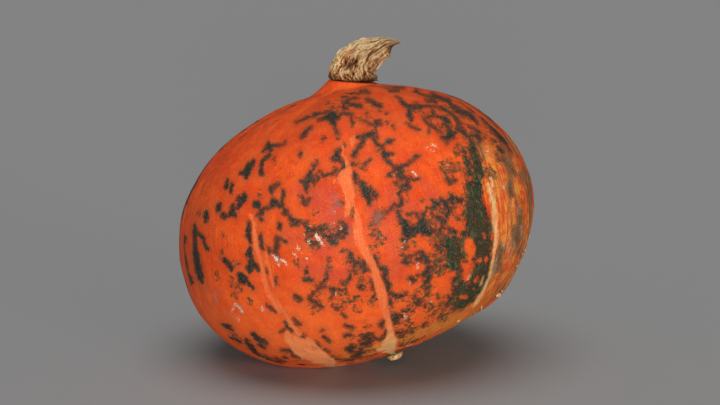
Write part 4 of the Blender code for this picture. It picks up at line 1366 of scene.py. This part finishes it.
@dataclass(frozen=True)
class RindFinish:
    """Smooth waxy rind: orange, with dark green mottles, pale stripes and a weathered side."""

    orange: Colour = srgb(236, 85, 23)
    red_orange: Colour = srgb(224, 71, 21)
    amber: Colour = srgb(246, 112, 44)
    # Painted light: the lighter orange that brightens the lower part, also the pale streaks of the dry rim.
    painted_underlight: Colour = srgb(255, 112, 46)
    dusk: Colour = srgb(158, 57, 29)
    green: Colour = srgb(24, 40, 36)
    olive: Colour = srgb(72, 80, 46)
    moss: Colour = srgb(30, 50, 34)
    brown: Colour = srgb(122, 58, 32)
    umber: Colour = srgb(140, 74, 46)
    salmon: Colour = srgb(236, 114, 64)
    peach: Colour = srgb(255, 152, 92)
    straw: Colour = srgb(246, 198, 132)
    ochre: Colour = srgb(255, 160, 62)
    bark: Colour = srgb(116, 68, 44)
    leather: Colour = srgb(188, 112, 58)
    ash: Colour = srgb(198, 160, 126)
    plum: Colour = srgb(78, 46, 40)
    speck: Colour = srgb(172, 164, 144)
    fleck: Colour = srgb(240, 148, 110)
    cream: Colour = srgb(244, 224, 200)
    scuff: Colour = srgb(150, 116, 108)
    # Partly the waxy bloom's purplish tint, partly a painted soft sheen over the middle of the front.
    bloom_and_sheen: Colour = srgb(172, 66, 64)
    dust: Colour = srgb(222, 196, 176)
    soot: Colour = srgb(44, 30, 24)
    button_green: Colour = srgb(70, 104, 72)
    nets: tuple[MottleNet, MottleNet] = (
        MottleNet(
            shift=(0.0, 0.0, 0.0), warp=90.0, push=0.011, cells=72.0, wall_mm=13.9,
            patches=30.0, bare=0.56, swing_mm=22.0, widest_mm=2.6,
        ),
        MottleNet(
            shift=(0.31, 0.17, 0.73), warp=150.0, push=0.007, cells=120.0, wall_mm=8.3,
            patches=46.0, bare=0.60, swing_mm=20.0, widest_mm=1.7,
        ),
    )

    def ground(self, g: RindGrain) -> Coats:
        """Colour the skin between the marks, with a painted light that makes the lower part brighter, and
        dry streaks at its left and lower rim.

        Args:
            g: The noises and zones.

        Returns:
            The skin, for the other layers to lie on.
        """
        skin = Coats(g.graph, self.red_orange).lay(g.broad.step(0.32, 0.62), self.orange)
        skin.lay(g.streak.step(0.52, 0.78) * 0.4, self.amber)
        skin.lay(g.streak.fall(0.2, 0.46) * 0.4, self.red_orange)
        skin.lay(g.patch.mixed(0.7, g.fine).step(0.5, 0.62) * 0.35, self.amber)
        skin.lay((g.patch * 0.5 + g.coarse * 0.3 + g.fine * 0.2).fall(0.38, 0.5) * 0.4, self.dusk)
        skin.lay(g.fine.mixed(0.7, g.coarse).step(0.54, 0.68) * 0.3, self.fleck)
        skin.lay(g.fine.fall(0.3, 0.42) * 0.35, self.dusk)
        # Painted light: a lighter orange over the lower part, where the lamps leave it dim.
        skin.lay(g.painted_underlight * 0.85, self.painted_underlight)
        dry = g.x.fall(-0.072, -0.036).above(g.z.fall(0.008, 0.04))
        skin.lay(dry * g.hair.mixed(0.75, g.fine).fall(0.42, 0.47) * 0.75, self.bark)
        # Pale streaks of the dry rim, in the lighter orange of the painted underlight.
        skin.lay(dry * g.hair.mixed(0.7, g.fine).step(0.54, 0.61) * 0.4, self.painted_underlight)
        skin.lay(g.patch.mixed(0.6, g.broad).fall(0.4, 0.52) * 0.28, self.red_orange)
        # The purplish haze over the middle of the front: partly waxy bloom, partly painted sheen.
        return skin.lay((g.mark(Mark.BLOOM_AND_SHEEN) + g.jag * 1.6).step(-3.0, 6.0) * 0.36, self.bloom_and_sheen)

    def lay_weathering(self, g: RindGrain, skin: Coats) -> None:
        """Lay the weathered side over the skin, with its bark, bright ochre, threads and ash.

        Args:
            g: The noises and zones.
            skin: The coats so far.
        """
        worn = Coats(g.graph, self.leather).lay(g.streak.mixed(0.5, g.hair).step(0.42, 0.58), self.bark)
        worn.lay(g.hair.mixed(0.5, g.patch).fall(0.38, 0.47) * 0.8, self.olive)
        worn.lay(g.hair.mixed(0.6, g.fine).step(0.55, 0.64) * 0.7, self.orange)
        skin.lay(g.weather, worn)
        bark = (g.mark(Mark.BARK) + g.jag * 0.9 + (g.hair - 0.5) * 13.0).step(-1.4, 1.6)
        rough = Coats(g.graph, self.bark).lay(g.fine.mixed(0.4, g.hair).step(0.44, 0.56), self.olive)
        rough.lay(g.fine.mixed(0.7, g.hair).step(0.55, 0.64) * 0.6, self.ash)
        skin.lay(bark * 0.85, rough)
        ochre = (g.mark(Mark.OCHRE) + g.jag * 0.6 + (g.hair - 0.5) * 7.0 + 0.7).step(-1.2, 1.2)
        golden = g.streak.mixed(0.5, g.patch).step(0.44, 0.56).above(g.z.fall(0.015, 0.06))
        bright = Coats(g.graph, self.orange).lay(golden * 0.8, self.ochre)
        bright.lay(g.hair.mixed(0.5, g.coarse).fall(0.38, 0.48) * 0.6, self.leather)
        skin.lay(ochre * 0.95, bright)
        lines = g.thread.mixed(0.65, g.fine)
        skin.lay(g.weather * lines.step(0.56, 0.61) * 0.5, self.ash)
        skin.lay(g.weather * lines.fall(0.41, 0.46) * 0.7, self.plum)
        ash = (g.mark(Mark.ASH) + g.jag * 0.7 + (g.hair - 0.5) * 9.0).step(-0.8, 1.4)
        skin.lay(ash * (g.fine.step(0.4, 0.6) * 0.4 + 0.4), self.ash)

    def lay_murk(self, g: RindGrain, skin: Coats) -> None:
        """Lay the soft smudges, and the murky zones where fine specks crowd together.

        Args:
            g: The noises and zones.
            skin: The coats so far.
        """
        fuzz = (g.mark(Mark.FUZZ) + 0.9 + g.jag * 2.0).below(g.island)
        fuzzy = Coats(g.graph, self.brown).lay(g.fine.mixed(0.5, g.patch).step(0.4, 0.54), self.olive)
        fuzzy.lay(g.coarse.mixed(0.6, g.fine).step(0.5, 0.58) * 0.7, self.green)
        skin.lay(fuzz.step(-0.7, 1.0) * (g.coarse.step(0.44, 0.54) * 0.45 + 0.4), fuzzy)
        unseen = (1.0 - g.seen) * (g.broad + g.lush * 0.3).step(0.52, 0.8) * (1.0 - g.weather) * 0.9
        murk = g.mark(Mark.MURK).below(g.island * 2.0).step(-4.0, 5.0).above(unseen)
        murky = Coats(g.graph, self.brown).lay(g.fine.mixed(0.6, g.patch).step(0.42, 0.56), self.olive)
        murky.lay(g.patch.step(0.5, 0.6) * 0.8, self.green)
        grit = g.coarse * 0.55 + g.fine * 0.30 + g.patch * 0.15
        skin.lay((grit + murk * 0.13 - 0.60).step(-0.035, 0.035) * 0.9 * murk.step(0.0, 0.4), murky)

    def lay_mottles(self, g: RindGrain, skin: Coats) -> None:
        """Lay the dark green mottles in their brown halos, crisper on the left.

        Args:
            g: The noises and zones.
            skin: The coats so far.
        """
        large, small = (net.inside(g) for net in self.nets)
        bare = g.seen * 9.0 + g.graph.number("from_stem").fall(17.0, 30.0) * 6.0 + g.weather * 3.6
        mottle = (g.mark(Mark.MOTTLE).above(large.above(small) - bare) + 0.3 + g.jag).below(g.island)
        halo = (mottle + (g.fine - 0.5) * 12.0 + (g.patch - 0.5) * 14.0).step(-3.4, -1.4)
        skin.lay(halo * 0.26, self.umber)
        skin.lay(mottle.step(-1.4, 0.3) * 0.62, self.brown)
        dark = Coats(g.graph, self.green).lay(g.coarse.step(0.5, 0.68) * 0.4, self.olive)
        dark.lay(g.fine.fall(0.32, 0.42) * 0.3, self.brown)
        dark.lay(g.fine.mixed(0.8, g.coarse).step(0.58, 0.68) * 0.5, self.speck)
        # Mottles slightly fainter where the painted light brightens the lower part.
        soft = mottle.step(-0.8, 1.3) * (g.patch.step(0.38, 0.54) * 0.28 + 0.68) * (1.0 - g.painted_underlight * 0.08)
        crisp = mottle.step(-0.8, 0.5) * g.x.fall(-0.036, 0.002) * 0.95
        skin.lay(soft.above(crisp), dark)
        skin.lay(mottle.step(0.4, 2.4) * 0.7, dark)

    def lay_olive(self, g: RindGrain, skin: Coats) -> None:
        """Lay the dark green zone, with its pale and brown specks.

        Args:
            g: The noises and zones.
            skin: The coats so far.
        """
        olive = (g.mark(Mark.OLIVE) + g.jag * 1.9).below(g.island)
        drifts = g.patch.mixed(0.6, g.streak)
        speckled = Coats(g.graph, self.moss).lay(drifts.step(0.5, 0.62), self.olive)
        speckled.lay(g.fine.mixed(0.7, g.coarse).step(0.58, 0.65) * 0.6, self.speck)
        speckled.lay(g.fine.mixed(0.6, g.coarse).fall(0.4, 0.48) * 0.2, self.brown)
        skin.lay(olive.step(-1.2, 1.2) * (drifts.step(0.34, 0.48) * 0.12 + 0.86), speckled)

    def lay_stripes(self, g: RindGrain, skin: Coats) -> Signal:
        """Lay the pale stripes of the furrows, paler toward the blossom and the right.

        Args:
            g: The noises and zones.
            skin: The coats so far.

        Returns:
            Where the stripes lie, 0 to 1.
        """
        stripe = (g.mark(Mark.STRIPE) + g.jag * 0.45 + (g.hair - 0.5) * 3.0).step(-0.8, 0.7)
        low = g.z.fall(0.016, 0.05)
        straw = (low * g.x.step(-0.01, 0.045)).above(g.x.step(0.05, 0.07))
        pale = Coats(g.graph, self.salmon).lay(low * 0.95, self.peach).lay(straw * 0.9, self.straw)
        pale.lay(g.hair.mixed(0.6, g.patch).step(0.48, 0.6) * 0.55, self.amber)
        pale.lay(g.hair.mixed(0.5, g.coarse).fall(0.39, 0.45) * 0.42, self.brown)
        pale.lay(g.fine.mixed(0.5, g.hair).step(0.54, 0.64) * 0.5, self.straw)
        skin.lay(stripe * (low * 0.12 + straw * 0.1 + 0.82).below(0.97), pale)
        return stripe

    def lay_scars(self, g: RindGrain, skin: Coats) -> Signal:
        """Lay the grey scuffs and the raised cream scars.

        Args:
            g: The noises and zones.
            skin: The coats so far.

        Returns:
            Where the cream scars lie, 0 to 1.
        """
        scuff = (g.mark(Mark.SCUFF) + g.jag * 0.8).step(-2.0, 2.2)
        skin.lay(scuff * (g.fine.mixed(0.5, g.coarse).step(0.4, 0.6) * 0.2 + 0.22), self.scuff)
        scar = (g.mark(Mark.CREAM) + g.jag * 0.3 + (g.fine - 0.5) * 5.0).step(-0.1, 0.5)
        skin.lay(scar * 0.8, self.cream)
        return scar

    def lay_button(self, g: RindGrain, skin: Coats) -> None:
        """Lay the button's straw tip and the green ring round it.

        Args:
            g: The noises and zones.
            skin: The coats so far.
        """
        away = g.graph.number("from_blossom") + g.jag * 0.5
        ring = Coats(g.graph, self.green).lay(g.coarse.step(0.42, 0.58), self.button_green)
        skin.lay(away.step(4.6, 5.4) * away.fall(7.6, 9.6) * 0.9, ring)
        flecks = g.coarse.mixed(0.6, g.fine).step(0.44, 0.54) * 0.6
        skin.lay(away.fall(4.4, 5.4), Coats(g.graph, self.straw).lay(flecks, self.button_green))

    def build(self) -> bpy.types.Material:
        """Make the material, its layers from the lowest up.

        Returns:
            The material.
        """
        graph = Graph("waxy_rind", specular=0.04)
        g = RindGrain(graph)
        skin = self.ground(g)
        self.lay_weathering(g, skin)
        self.lay_murk(g, skin)
        self.lay_mottles(g, skin)
        self.lay_olive(g, skin)
        stripe = self.lay_stripes(g, skin)
        scar = self.lay_scars(g, skin)
        self.lay_button(g, skin)
        skin.lay(g.dust.step(0.54, 0.72) * 0.19, self.dust)
        skin.lay(g.dust.fall(0.3, 0.45) * 0.2, self.soot)
        graph.colour(skin.top)
        graph.roughness(0.44 + g.coarse * 0.12 + g.weather * 0.22 + scar * 0.2)
        fibres = (g.hair + g.streak + g.thread) * 0.8 * g.weather
        relief = g.fine * 0.25 + g.coarse * 0.25 + fibres + scar * 0.8 - stripe * 0.3
        graph.relief(relief, distance=0.0007, strength=0.5)
        return graph.material


@dataclass
class WeatheredFlakes:
    """Thin dry scales that lift from the weathered side, seen along the lower right edge.

    Places are pixels across and down the photograph, with each scale's size.
    """

    view: PhotoView
    places: tuple[tuple[float, float, float], ...] = (
        (529, 236, 0.8), (524, 250, 1.5), (522, 254, 0.9), (518, 260, 1.0), (516.5, 265, 0.9),
        (503, 286, 0.8), (501.5, 290, 1.4), (498, 294, 1.3), (485.5, 303, 1.4), (481, 306, 1.5),
        (474, 311, 1.0), (465, 317.5, 1.0), (458, 321, 0.8),
    )
    length: float = 0.0026386
    width: float = 0.0011472
    thickness: float = 0.00022
    lift: float = 0.0006
    crumple: float = 0.00006
    hidden: float = -0.35
    seed: int = 12

    def scale(self, draw: np.random.Generator, foot: Array, up: Vector, size: float) -> Piece:
        """Model one scale, a small curled plate that leans out from the rind.

        Args:
            draw: The source of its chance.
            foot: The point of the rind that it stands on.
            up: The rind's normal there.
            size: Its size, about 1.

        Returns:
            The plate, without thickness.
        """
        bpy.ops.mesh.primitive_grid_add(x_subdivisions=6, y_subdivisions=4, size=1.0)
        scale = bpy.context.object
        flat = vertex_places(scale)
        level = up.cross(Vector((0.0, 0.0, 1.0))).normalized()
        side = level.lerp(Vector(draw.normal(size=3)), 0.25).normalized()
        along = up.cross(side).normalized()
        curl = 1.2 * draw.random() + 0.5
        trim = 1.0 - 0.8 * (2.0 * flat[:, 1]) ** 2
        run, edge = flat[:, 0] * size * self.length * trim, flat[:, 1] * size * self.width
        bend = 0.25 + curl * (flat[:, 1] + 0.5) ** 2 + 0.3 * np.sin(9.0 * flat[:, 0])
        shape = np.outer(run, side) + np.outer(edge, along) + np.outer(self.lift * size * bend, up) + foot
        shape += draw.normal(scale=self.crumple, size=shape.shape)
        move_vertices(scale, shape)
        return scale

    def build(self, rind: Piece) -> Piece:
        """Model the scales and join them.

        Args:
            rind: The finished fruit, whose vertices the scales stand on.

        Returns:
            The finished piece, dressed and tied to its body.
        """
        draw = np.random.default_rng(self.seed)
        points, normals = vertex_places(rind), vertex_normals(rind)
        pixels = self.view.pixels(points)
        behind = np.where(self.view.facing(points, normals) > self.hidden, 0.0, self.view.width)
        deselect()
        scales = []
        for across, down, size in self.places:
            spot = int(np.argmin(np.hypot(pixels[:, 0] - across, pixels[:, 1] - down) + behind))
            scales.append(self.scale(draw, points[spot], Vector(normals[spot]), size))
        deselect()
        for scale in scales:
            scale.select_set(True)
        bpy.context.view_layer.objects.active = scales[0]
        bpy.ops.object.join()
        piece = bpy.context.object
        piece.name = piece.data.name = "weathered_flakes"
        shell = piece.modifiers.new("thickness", "SOLIDIFY")
        shell.thickness = self.thickness
        shell.offset = 0.0
        bpy.ops.object.modifier_apply(modifier=shell.name)
        bpy.ops.object.mode_set(mode="EDIT")
        bpy.ops.mesh.select_all(action="SELECT")
        bpy.ops.mesh.normals_make_consistent(inside=False)
        bpy.ops.object.mode_set(mode="OBJECT")
        piece.data.materials.append(FlakeFinish().build())
        settle_piece(piece, Slot.RIND)
        return piece


@dataclass(frozen=True)
class FlakeFinish:
    """Papery dry skin, whitish with brown patches."""

    paper: Colour = srgb(224, 180, 124)
    tan: Colour = srgb(176, 112, 62)

    def build(self) -> bpy.types.Material:
        """Make the material.

        Returns:
            The material.
        """
        graph = Graph("dry_flake", specular=0.1, roughness=0.8)
        grit = graph.cloud(graph.place(), scale=700.0, detail=3.0, roughness=0.6)
        graph.colour(graph.blend(grit.step(0.46, 0.62), self.paper, self.tan))
        return graph.material


class Station(NamedTuple):
    """One ring of the stem: its middle, half its width, and its share of the ridges' height."""

    x: float
    z: float
    radius: float
    ridges: float


class Knob(NamedTuple):
    """A knob of the stem, or a hollow where its height is negative, at a bearing round it from -Y."""

    bearing: float
    along: float
    height: float
    width: float
    length: float


@dataclass
class Stem:
    """The dry stem: a ridged, bent tube from its flat foot to its beak-like tip."""

    form: FruitForm
    stations: tuple[Station, ...] = (
        Station(0.0, 0.0, 0.0122, 0.5),
        Station(0.0, 0.0020, 0.0127, 0.8),
        Station(0.0004, 0.0054, 0.0124, 0.9),
        Station(0.0017, 0.0095, 0.0113, 1.0),
        Station(0.0045, 0.0130, 0.0099, 1.0),
        Station(0.0086, 0.0161, 0.0086, 1.0),
        Station(0.0136, 0.0190, 0.0066, 1.0),
        Station(0.0180, 0.0217, 0.0043, 0.9),
        Station(0.0216, 0.0233, 0.0020, 0.6),
        Station(0.0254, 0.0237, 0.0004, 0.2),
    )
    depth_share: float = 0.86
    ridges: int = 12
    ridge_height: float = 0.17
    strand_height: float = 0.2
    strand_grain: tuple[float, float, float] = (7.0, 7.0, 1.8)
    fibre_height: float = 0.15
    fibre_grain: tuple[float, float, float] = (15.0, 15.0, 3.4)
    twist: float = 40.0
    length_per_turn: float = 2.8
    knobs: tuple[Knob, ...] = (
        Knob(-24.0, 0.29, -0.0052, 16.0, 0.07),
        Knob(-10.0, 0.37, -0.0036, 7.0, 0.05),
        Knob(96.0, 0.75, 0.0020, 40.0, 0.055),
        Knob(80.0, 0.84, -0.0022, 55.0, 0.045),
        Knob(-20.0, 0.13, 0.0009, 60.0, 0.05),
    )
    # Bearing of the bend's inside: russet along the bend, painted shade under the beak.
    inner_bearing: float = 78.0
    outer_bearing: float = -80.0
    # Depth of a hollow at which its painted shade is full.
    hollow_shade_depth: float = 0.004
    scarred_radius: float = 0.008
    lip_height: float = 0.045
    undercut: float = 0.0034
    least_radius: float = 0.0004
    sides: int = 288
    ring_cuts: tuple[int, int] = (15, 10)
    rings: int = 177
    gap: float = 0.0003

    def curve(self) -> Array:
        """Run a smooth curve through the stations.

        Returns:
            The rings' middles, radii and ridge shares, one ring a row.
        """
        stations = np.array(self.stations)
        padded = np.vstack([2 * stations[0] - stations[1], stations, 2 * stations[-1] - stations[-2]])
        rings = np.empty((self.rings, stations.shape[1]))
        for ring, place in enumerate(np.linspace(0.0, len(stations) - 1, self.rings)):
            start = min(int(place), len(stations) - 2)
            share = place - start
            before, first, second, after = padded[start : start + 4]
            rings[ring] = 0.5 * (
                2.0 * first
                + (second - before) * share
                + (2.0 * before - 5.0 * first + 4.0 * second - after) * share**2
                + (3.0 * first - before - 3.0 * second + after) * share**3
            )
        return rings

    def select_upright_edges(self, piece: Piece) -> None:
        """Select the edges that run up the cylinder's wall, and nothing else.

        Args:
            piece: The cylinder.
        """
        bpy.ops.object.mode_set(mode="EDIT")
        bpy.ops.mesh.select_mode(type="EDGE")
        bpy.ops.mesh.select_all(action="DESELECT")
        bpy.ops.object.mode_set(mode="OBJECT")
        ends = np.empty(2 * len(piece.data.edges), dtype=np.int32)
        piece.data.edges.foreach_get("vertices", ends)
        heights = vertex_places(piece)[ends.reshape(-1, 2), 2]
        upright = np.abs(heights[:, 0] - heights[:, 1]) > 1e-4
        piece.data.edges.foreach_set("select", upright)

    def tube(self) -> Piece:
        """Add a capped cylinder and divide its wall into rings.

        Returns:
            The cylinder, one unit high about the origin, with its axis on Z.
        """
        deselect()
        bpy.ops.mesh.primitive_cylinder_add(
            vertices=self.sides, radius=1.0, depth=1.0, location=(0.0, 0.0, 0.0), end_fill_type="TRIFAN"
        )
        piece = bpy.context.object
        piece.name = piece.data.name = "dry_stem"
        for cut in self.ring_cuts:
            self.select_upright_edges(piece)
            bpy.ops.object.mode_set(mode="EDIT")
            bpy.ops.mesh.subdivide(number_cuts=cut)
            bpy.ops.object.mode_set(mode="OBJECT")
        return piece

    def wall_places(self, cylinder: Array) -> tuple[Array, Array, Array]:
        """Read the cylinder's vertices as the stem's own coordinates.

        Args:
            cylinder: The divided cylinder's vertices, one a row.

        Returns:
            The angle round the stem (0 faces -Y, 90 degrees the inside of its bend), the share of its
            length, and how far out on its two ends: 1 on the wall and 0 in the middle of an end.
        """
        around = np.arctan2(cylinder[:, 0], -cylinder[:, 1])
        along = np.clip(cylinder[:, 2] + 0.5, 0.0, 1.0)
        out = np.minimum(np.hypot(cylinder[:, 0], cylinder[:, 1]), 1.0)
        return around, along, out

    def ridge_relief(self, around: Array, along: Array) -> tuple[Array, Array]:
        """Corky ridges that run up the stem, split and meet, with sharp crevices between them.

        Args:
            around: Angle round the stem.
            along: Share of its length.

        Returns:
            The relief as a share of the radius, and how near a crest each place is, from 0 to 1.
        """
        turned = around + math.radians(self.twist) * along
        wander = rough_noise(np.column_stack([np.cos(turned), np.sin(turned), 2.2 * along]) * 1.6, 2, 1.3)
        main = np.abs(np.sin(0.5 * self.ridges * turned + 1.7 * wander)) ** 0.8
        lengthwise = np.column_stack([np.cos(turned), np.sin(turned), self.length_per_turn * along])
        strands = np.abs(rough_noise(lengthwise * np.array(self.strand_grain), 2, 8.1)) ** 0.6
        fibres = np.abs(rough_noise(lengthwise * np.array(self.fibre_grain), 2, 4.4)) ** 0.6
        height = self.ridge_height * (main - 0.64)
        height += self.strand_height * (strands - 0.42) + self.fibre_height * (fibres - 0.35)
        crest = 0.30 * main + 0.40 * np.minimum(strands * 1.4, 1.0) + 0.30 * np.minimum(fibres * 1.6, 1.0)
        return height, crest

    def scar_relief(self, around: Array, along: Array) -> Array:
        """The single hollows and knobs of this stem, in metres out from its wall.

        Args:
            around: Angle round the stem.
            along: Share of its length.

        Returns:
            The relief, one value a place.
        """
        height = np.zeros(len(around))
        for knob in self.knobs:
            off = (around - math.radians(knob.bearing) + math.pi) % (2.0 * math.pi) - math.pi
            across = off / math.radians(knob.width)
            lengthwise = (along - knob.along) / knob.length
            height += knob.height * np.exp(-(across**2) - lengthwise**2)
        return height

    def paint_russet_and_shade(self, around: Array, along: Array) -> Array:
        """Brown the foot, the inside of the bend and the foot's outer side, and paint shade on the beak's
        inner side and in the hollows.

        Args:
            around: Angle round the stem.
            along: Share of its length.

        Returns:
            How russet each place is, with painted shade added on the beak and in the hollows, up to 1.6 in
            the hollows.
        """
        inner, outer = (
            np.cos(around - math.radians(bearing)) for bearing in (self.inner_bearing, self.outer_bearing)
        )
        inside = soft_step(inner, 0.25, 0.95)
        foot = 1.0 - soft_step(along, 0.04, 0.30)
        bend = inside * (1.0 - soft_step(along, 0.5, 0.75))
        # Painted shade under the beak.
        beak = inside * soft_step(along, 0.66, 0.78)
        heel = soft_step(outer, 0.55, 1.0) * (1.0 - soft_step(along, 0.2, 0.5))
        # Painted shade in the hollows, deeper with their depth.
        hollow = np.clip(-self.scar_relief(around, along) / self.hollow_shade_depth, 0.0, 1.2)
        return np.clip(0.7 * foot + 0.8 * bend + beak + 0.5 * heel + hollow, 0.0, 1.6)

    def build(self) -> Piece:
        """Model the stem.

        Returns:
            The finished piece, dressed and tied to its body.
        """
        piece = self.tube()
        around, along, out = self.wall_places(vertex_places(piece))
        curve = self.curve()
        places = np.linspace(0.0, 1.0, self.rings)
        middle_x, middle_z, radius, share = (np.interp(along, places, curve[:, k]) for k in range(4))
        slope = np.gradient(curve[:, :2], axis=0)
        slope[0] = (0.0, 1.0)
        heading_x, heading_z = (np.interp(along, places, slope[:, k]) for k in range(2))
        size = np.hypot(heading_x, heading_z)
        heading_x, heading_z = heading_x / size, heading_z / size
        ridges, crest = self.ridge_relief(around, along)
        scars = self.scar_relief(around, along) * np.minimum(radius / self.scarred_radius, 1.0)
        reach = radius * (1.0 + share * ridges) + scars
        lip = self.lip_height * (1.0 + 0.6 * np.sin(3.0 * around + 0.8) * np.cos(5.0 * around))
        undercut = 1.0 - soft_step(along, 0.0, lip)
        reach = np.maximum(reach - self.undercut * undercut, self.least_radius) * out
        sideways = reach * np.sin(around)
        local = np.column_stack([
            middle_x + sideways * heading_z,
            -reach * np.cos(around) * self.depth_share,
            middle_z - sideways * heading_x,
        ])
        seat, axes = self.form.seat_frame()
        points = local @ axes.T + seat + axes[:, 2] * self.gap - self.form.flat_spot()
        move_vertices(piece, points)
        keep(piece, "crest", crest)
        # Russet of the foot and the bend, with painted shade under the beak and in the hollows.
        keep(piece, "russet_and_shade", self.paint_russet_and_shade(around, along))
        keep(piece, "fibre", np.column_stack([
            np.cos(around + math.radians(self.twist) * along),
            np.sin(around + math.radians(self.twist) * along),
            self.length_per_turn * along,
        ]))
        piece.data.materials.append(CorkFinish().build())
        settle_piece(piece, Slot.DRY_STEM, "stem")
        return piece


@dataclass(frozen=True)
class CorkFinish:
    """Dry corky fibre: cream on its crests, with a painted highlight on the highest, tan between them, and
    painted shade in its crevices.
    """

    cream: Colour = srgb(252, 202, 136)
    # Painted highlight on the highest crests.
    painted_highlight: Colour = srgb(255, 232, 178)
    tan: Colour = srgb(204, 134, 80)
    russet: Colour = srgb(146, 82, 44)
    # Painted shade for the crevices, the cracks, the hollows and the beak's underside.
    crevice_shade: Colour = srgb(46, 24, 10)

    def build(self) -> bpy.types.Material:
        """Make the material.

        Returns:
            The material.
        """
        graph = Graph("dry_cork", specular=0.2, roughness=0.88)
        crest = graph.number("crest")
        russet_and_shade = graph.number("russet_and_shade")
        fibre = graph.stretch(graph.vector("fibre"), (40.0, 40.0, 6.0))
        strand = graph.cloud(fibre, scale=1.0, detail=3.0, roughness=0.65)
        grit = graph.cloud(graph.place(), scale=900.0, detail=3.0, roughness=0.65)
        blotch = graph.cloud(graph.place(), scale=160.0)
        # Lowered where the stem is russet or carries painted shade, so that those places take the darker
        # colours.
        height = crest + (strand - 0.5) * 1.3 + (grit - 0.5) * 0.5 - russet_and_shade * 0.2 + 0.005
        crack = ((strand - 0.5) * (strand - 0.5)).step(0.0, 0.0003)
        body = Coats(graph, self.russet).lay(height.step(0.28, 0.5), self.tan)
        body.lay(height.step(0.5, 0.7), self.cream)
        # Painted highlight: the palest colour on the highest crests.
        body.lay(height.step(0.62, 0.8) * 0.85, self.painted_highlight)
        # Russet where the stem is browned, also over its painted shade under the beak and in the hollows.
        body.lay((russet_and_shade + (blotch - 0.5) * 1.2).step(0.35, 0.95) * 0.55, self.russet)
        # Painted shade: the crevices between the crests darkened.
        body.lay(height.fall(0.27, 0.39) * 0.95, self.crevice_shade)
        # Painted shade: the hollows and the beak's underside darkest.
        body.lay(russet_and_shade.step(0.8, 1.3) * 0.8, self.crevice_shade)
        # The cracks along the fibres darkened with the same painted shade.
        body.lay((1.0 - crack) * 0.36, self.crevice_shade)
        graph.colour(body.top)
        graph.relief(strand + grit * 0.4 + crack * 0.5, distance=0.0016)
        return graph.material


class SoftLight(NamedTuple):
    """A broad light: its strength, its width, and its tilt from straight down and bearing, in degrees."""

    name: str
    strength: float
    softness: float
    tilt: tuple[float, float]


@dataclass
class Studio:
    """A plain floor and soft even light, neither of which is part of the squash."""

    floor_size: float = 24.0
    floor_tone: float = 0.358
    sky_strength: float = 0.13
    lights: tuple[SoftLight, ...] = (
        SoftLight("top_light", strength=1.34, softness=52.0, tilt=(7.0, -14.0)),
        SoftLight("front_light", strength=2.92, softness=14.0, tilt=(87.0, 0.0)),
        SoftLight("side_light", strength=0.75, softness=20.0, tilt=(86.0, 42.0)),
    )

    def build(self) -> None:
        """Add the floor, the sky and the lights."""
        deselect()
        bpy.ops.mesh.primitive_plane_add(size=self.floor_size, location=(0.0, 0.0, 0.0))
        floor = bpy.context.object
        floor.name = "studio_floor"
        graph = Graph("studio_floor", specular=0.1, roughness=0.95)
        graph.colour((self.floor_tone,) * 3)
        floor.data.materials.append(graph.material)
        world = bpy.data.worlds.new("studio_sky")
        world.use_nodes = True
        background = world.node_tree.nodes["Background"]
        background.inputs["Color"].default_value = (1.0, 1.0, 1.0, 1.0)
        background.inputs["Strength"].default_value = self.sky_strength
        bpy.context.scene.world = world
        for light in self.lights:
            tilt = (math.radians(light.tilt[0]), 0.0, math.radians(light.tilt[1]))
            bpy.ops.object.light_add(type="SUN", location=(0.0, -1.0, 2.0), rotation=tilt)
            lamp = bpy.context.object
            lamp.name = light.name
            lamp.data.energy = light.strength
            lamp.data.angle = math.radians(light.softness)
        bpy.context.scene.view_settings.view_transform = "Standard"


def main() -> None:
    """Build the camera, the studio, the fruit with its flakes, and the stem."""
    logging.basicConfig(level=logging.INFO, format="%(name)s: %(message)s")
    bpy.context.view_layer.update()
    view = PhotoView()
    view.build()
    Studio().build()
    form = FruitForm()
    rind = Fruit(form, view).build()
    WeatheredFlakes(view).build(rind)
    Stem(form).build()
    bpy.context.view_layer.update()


if __name__ == "__main__":
    main()
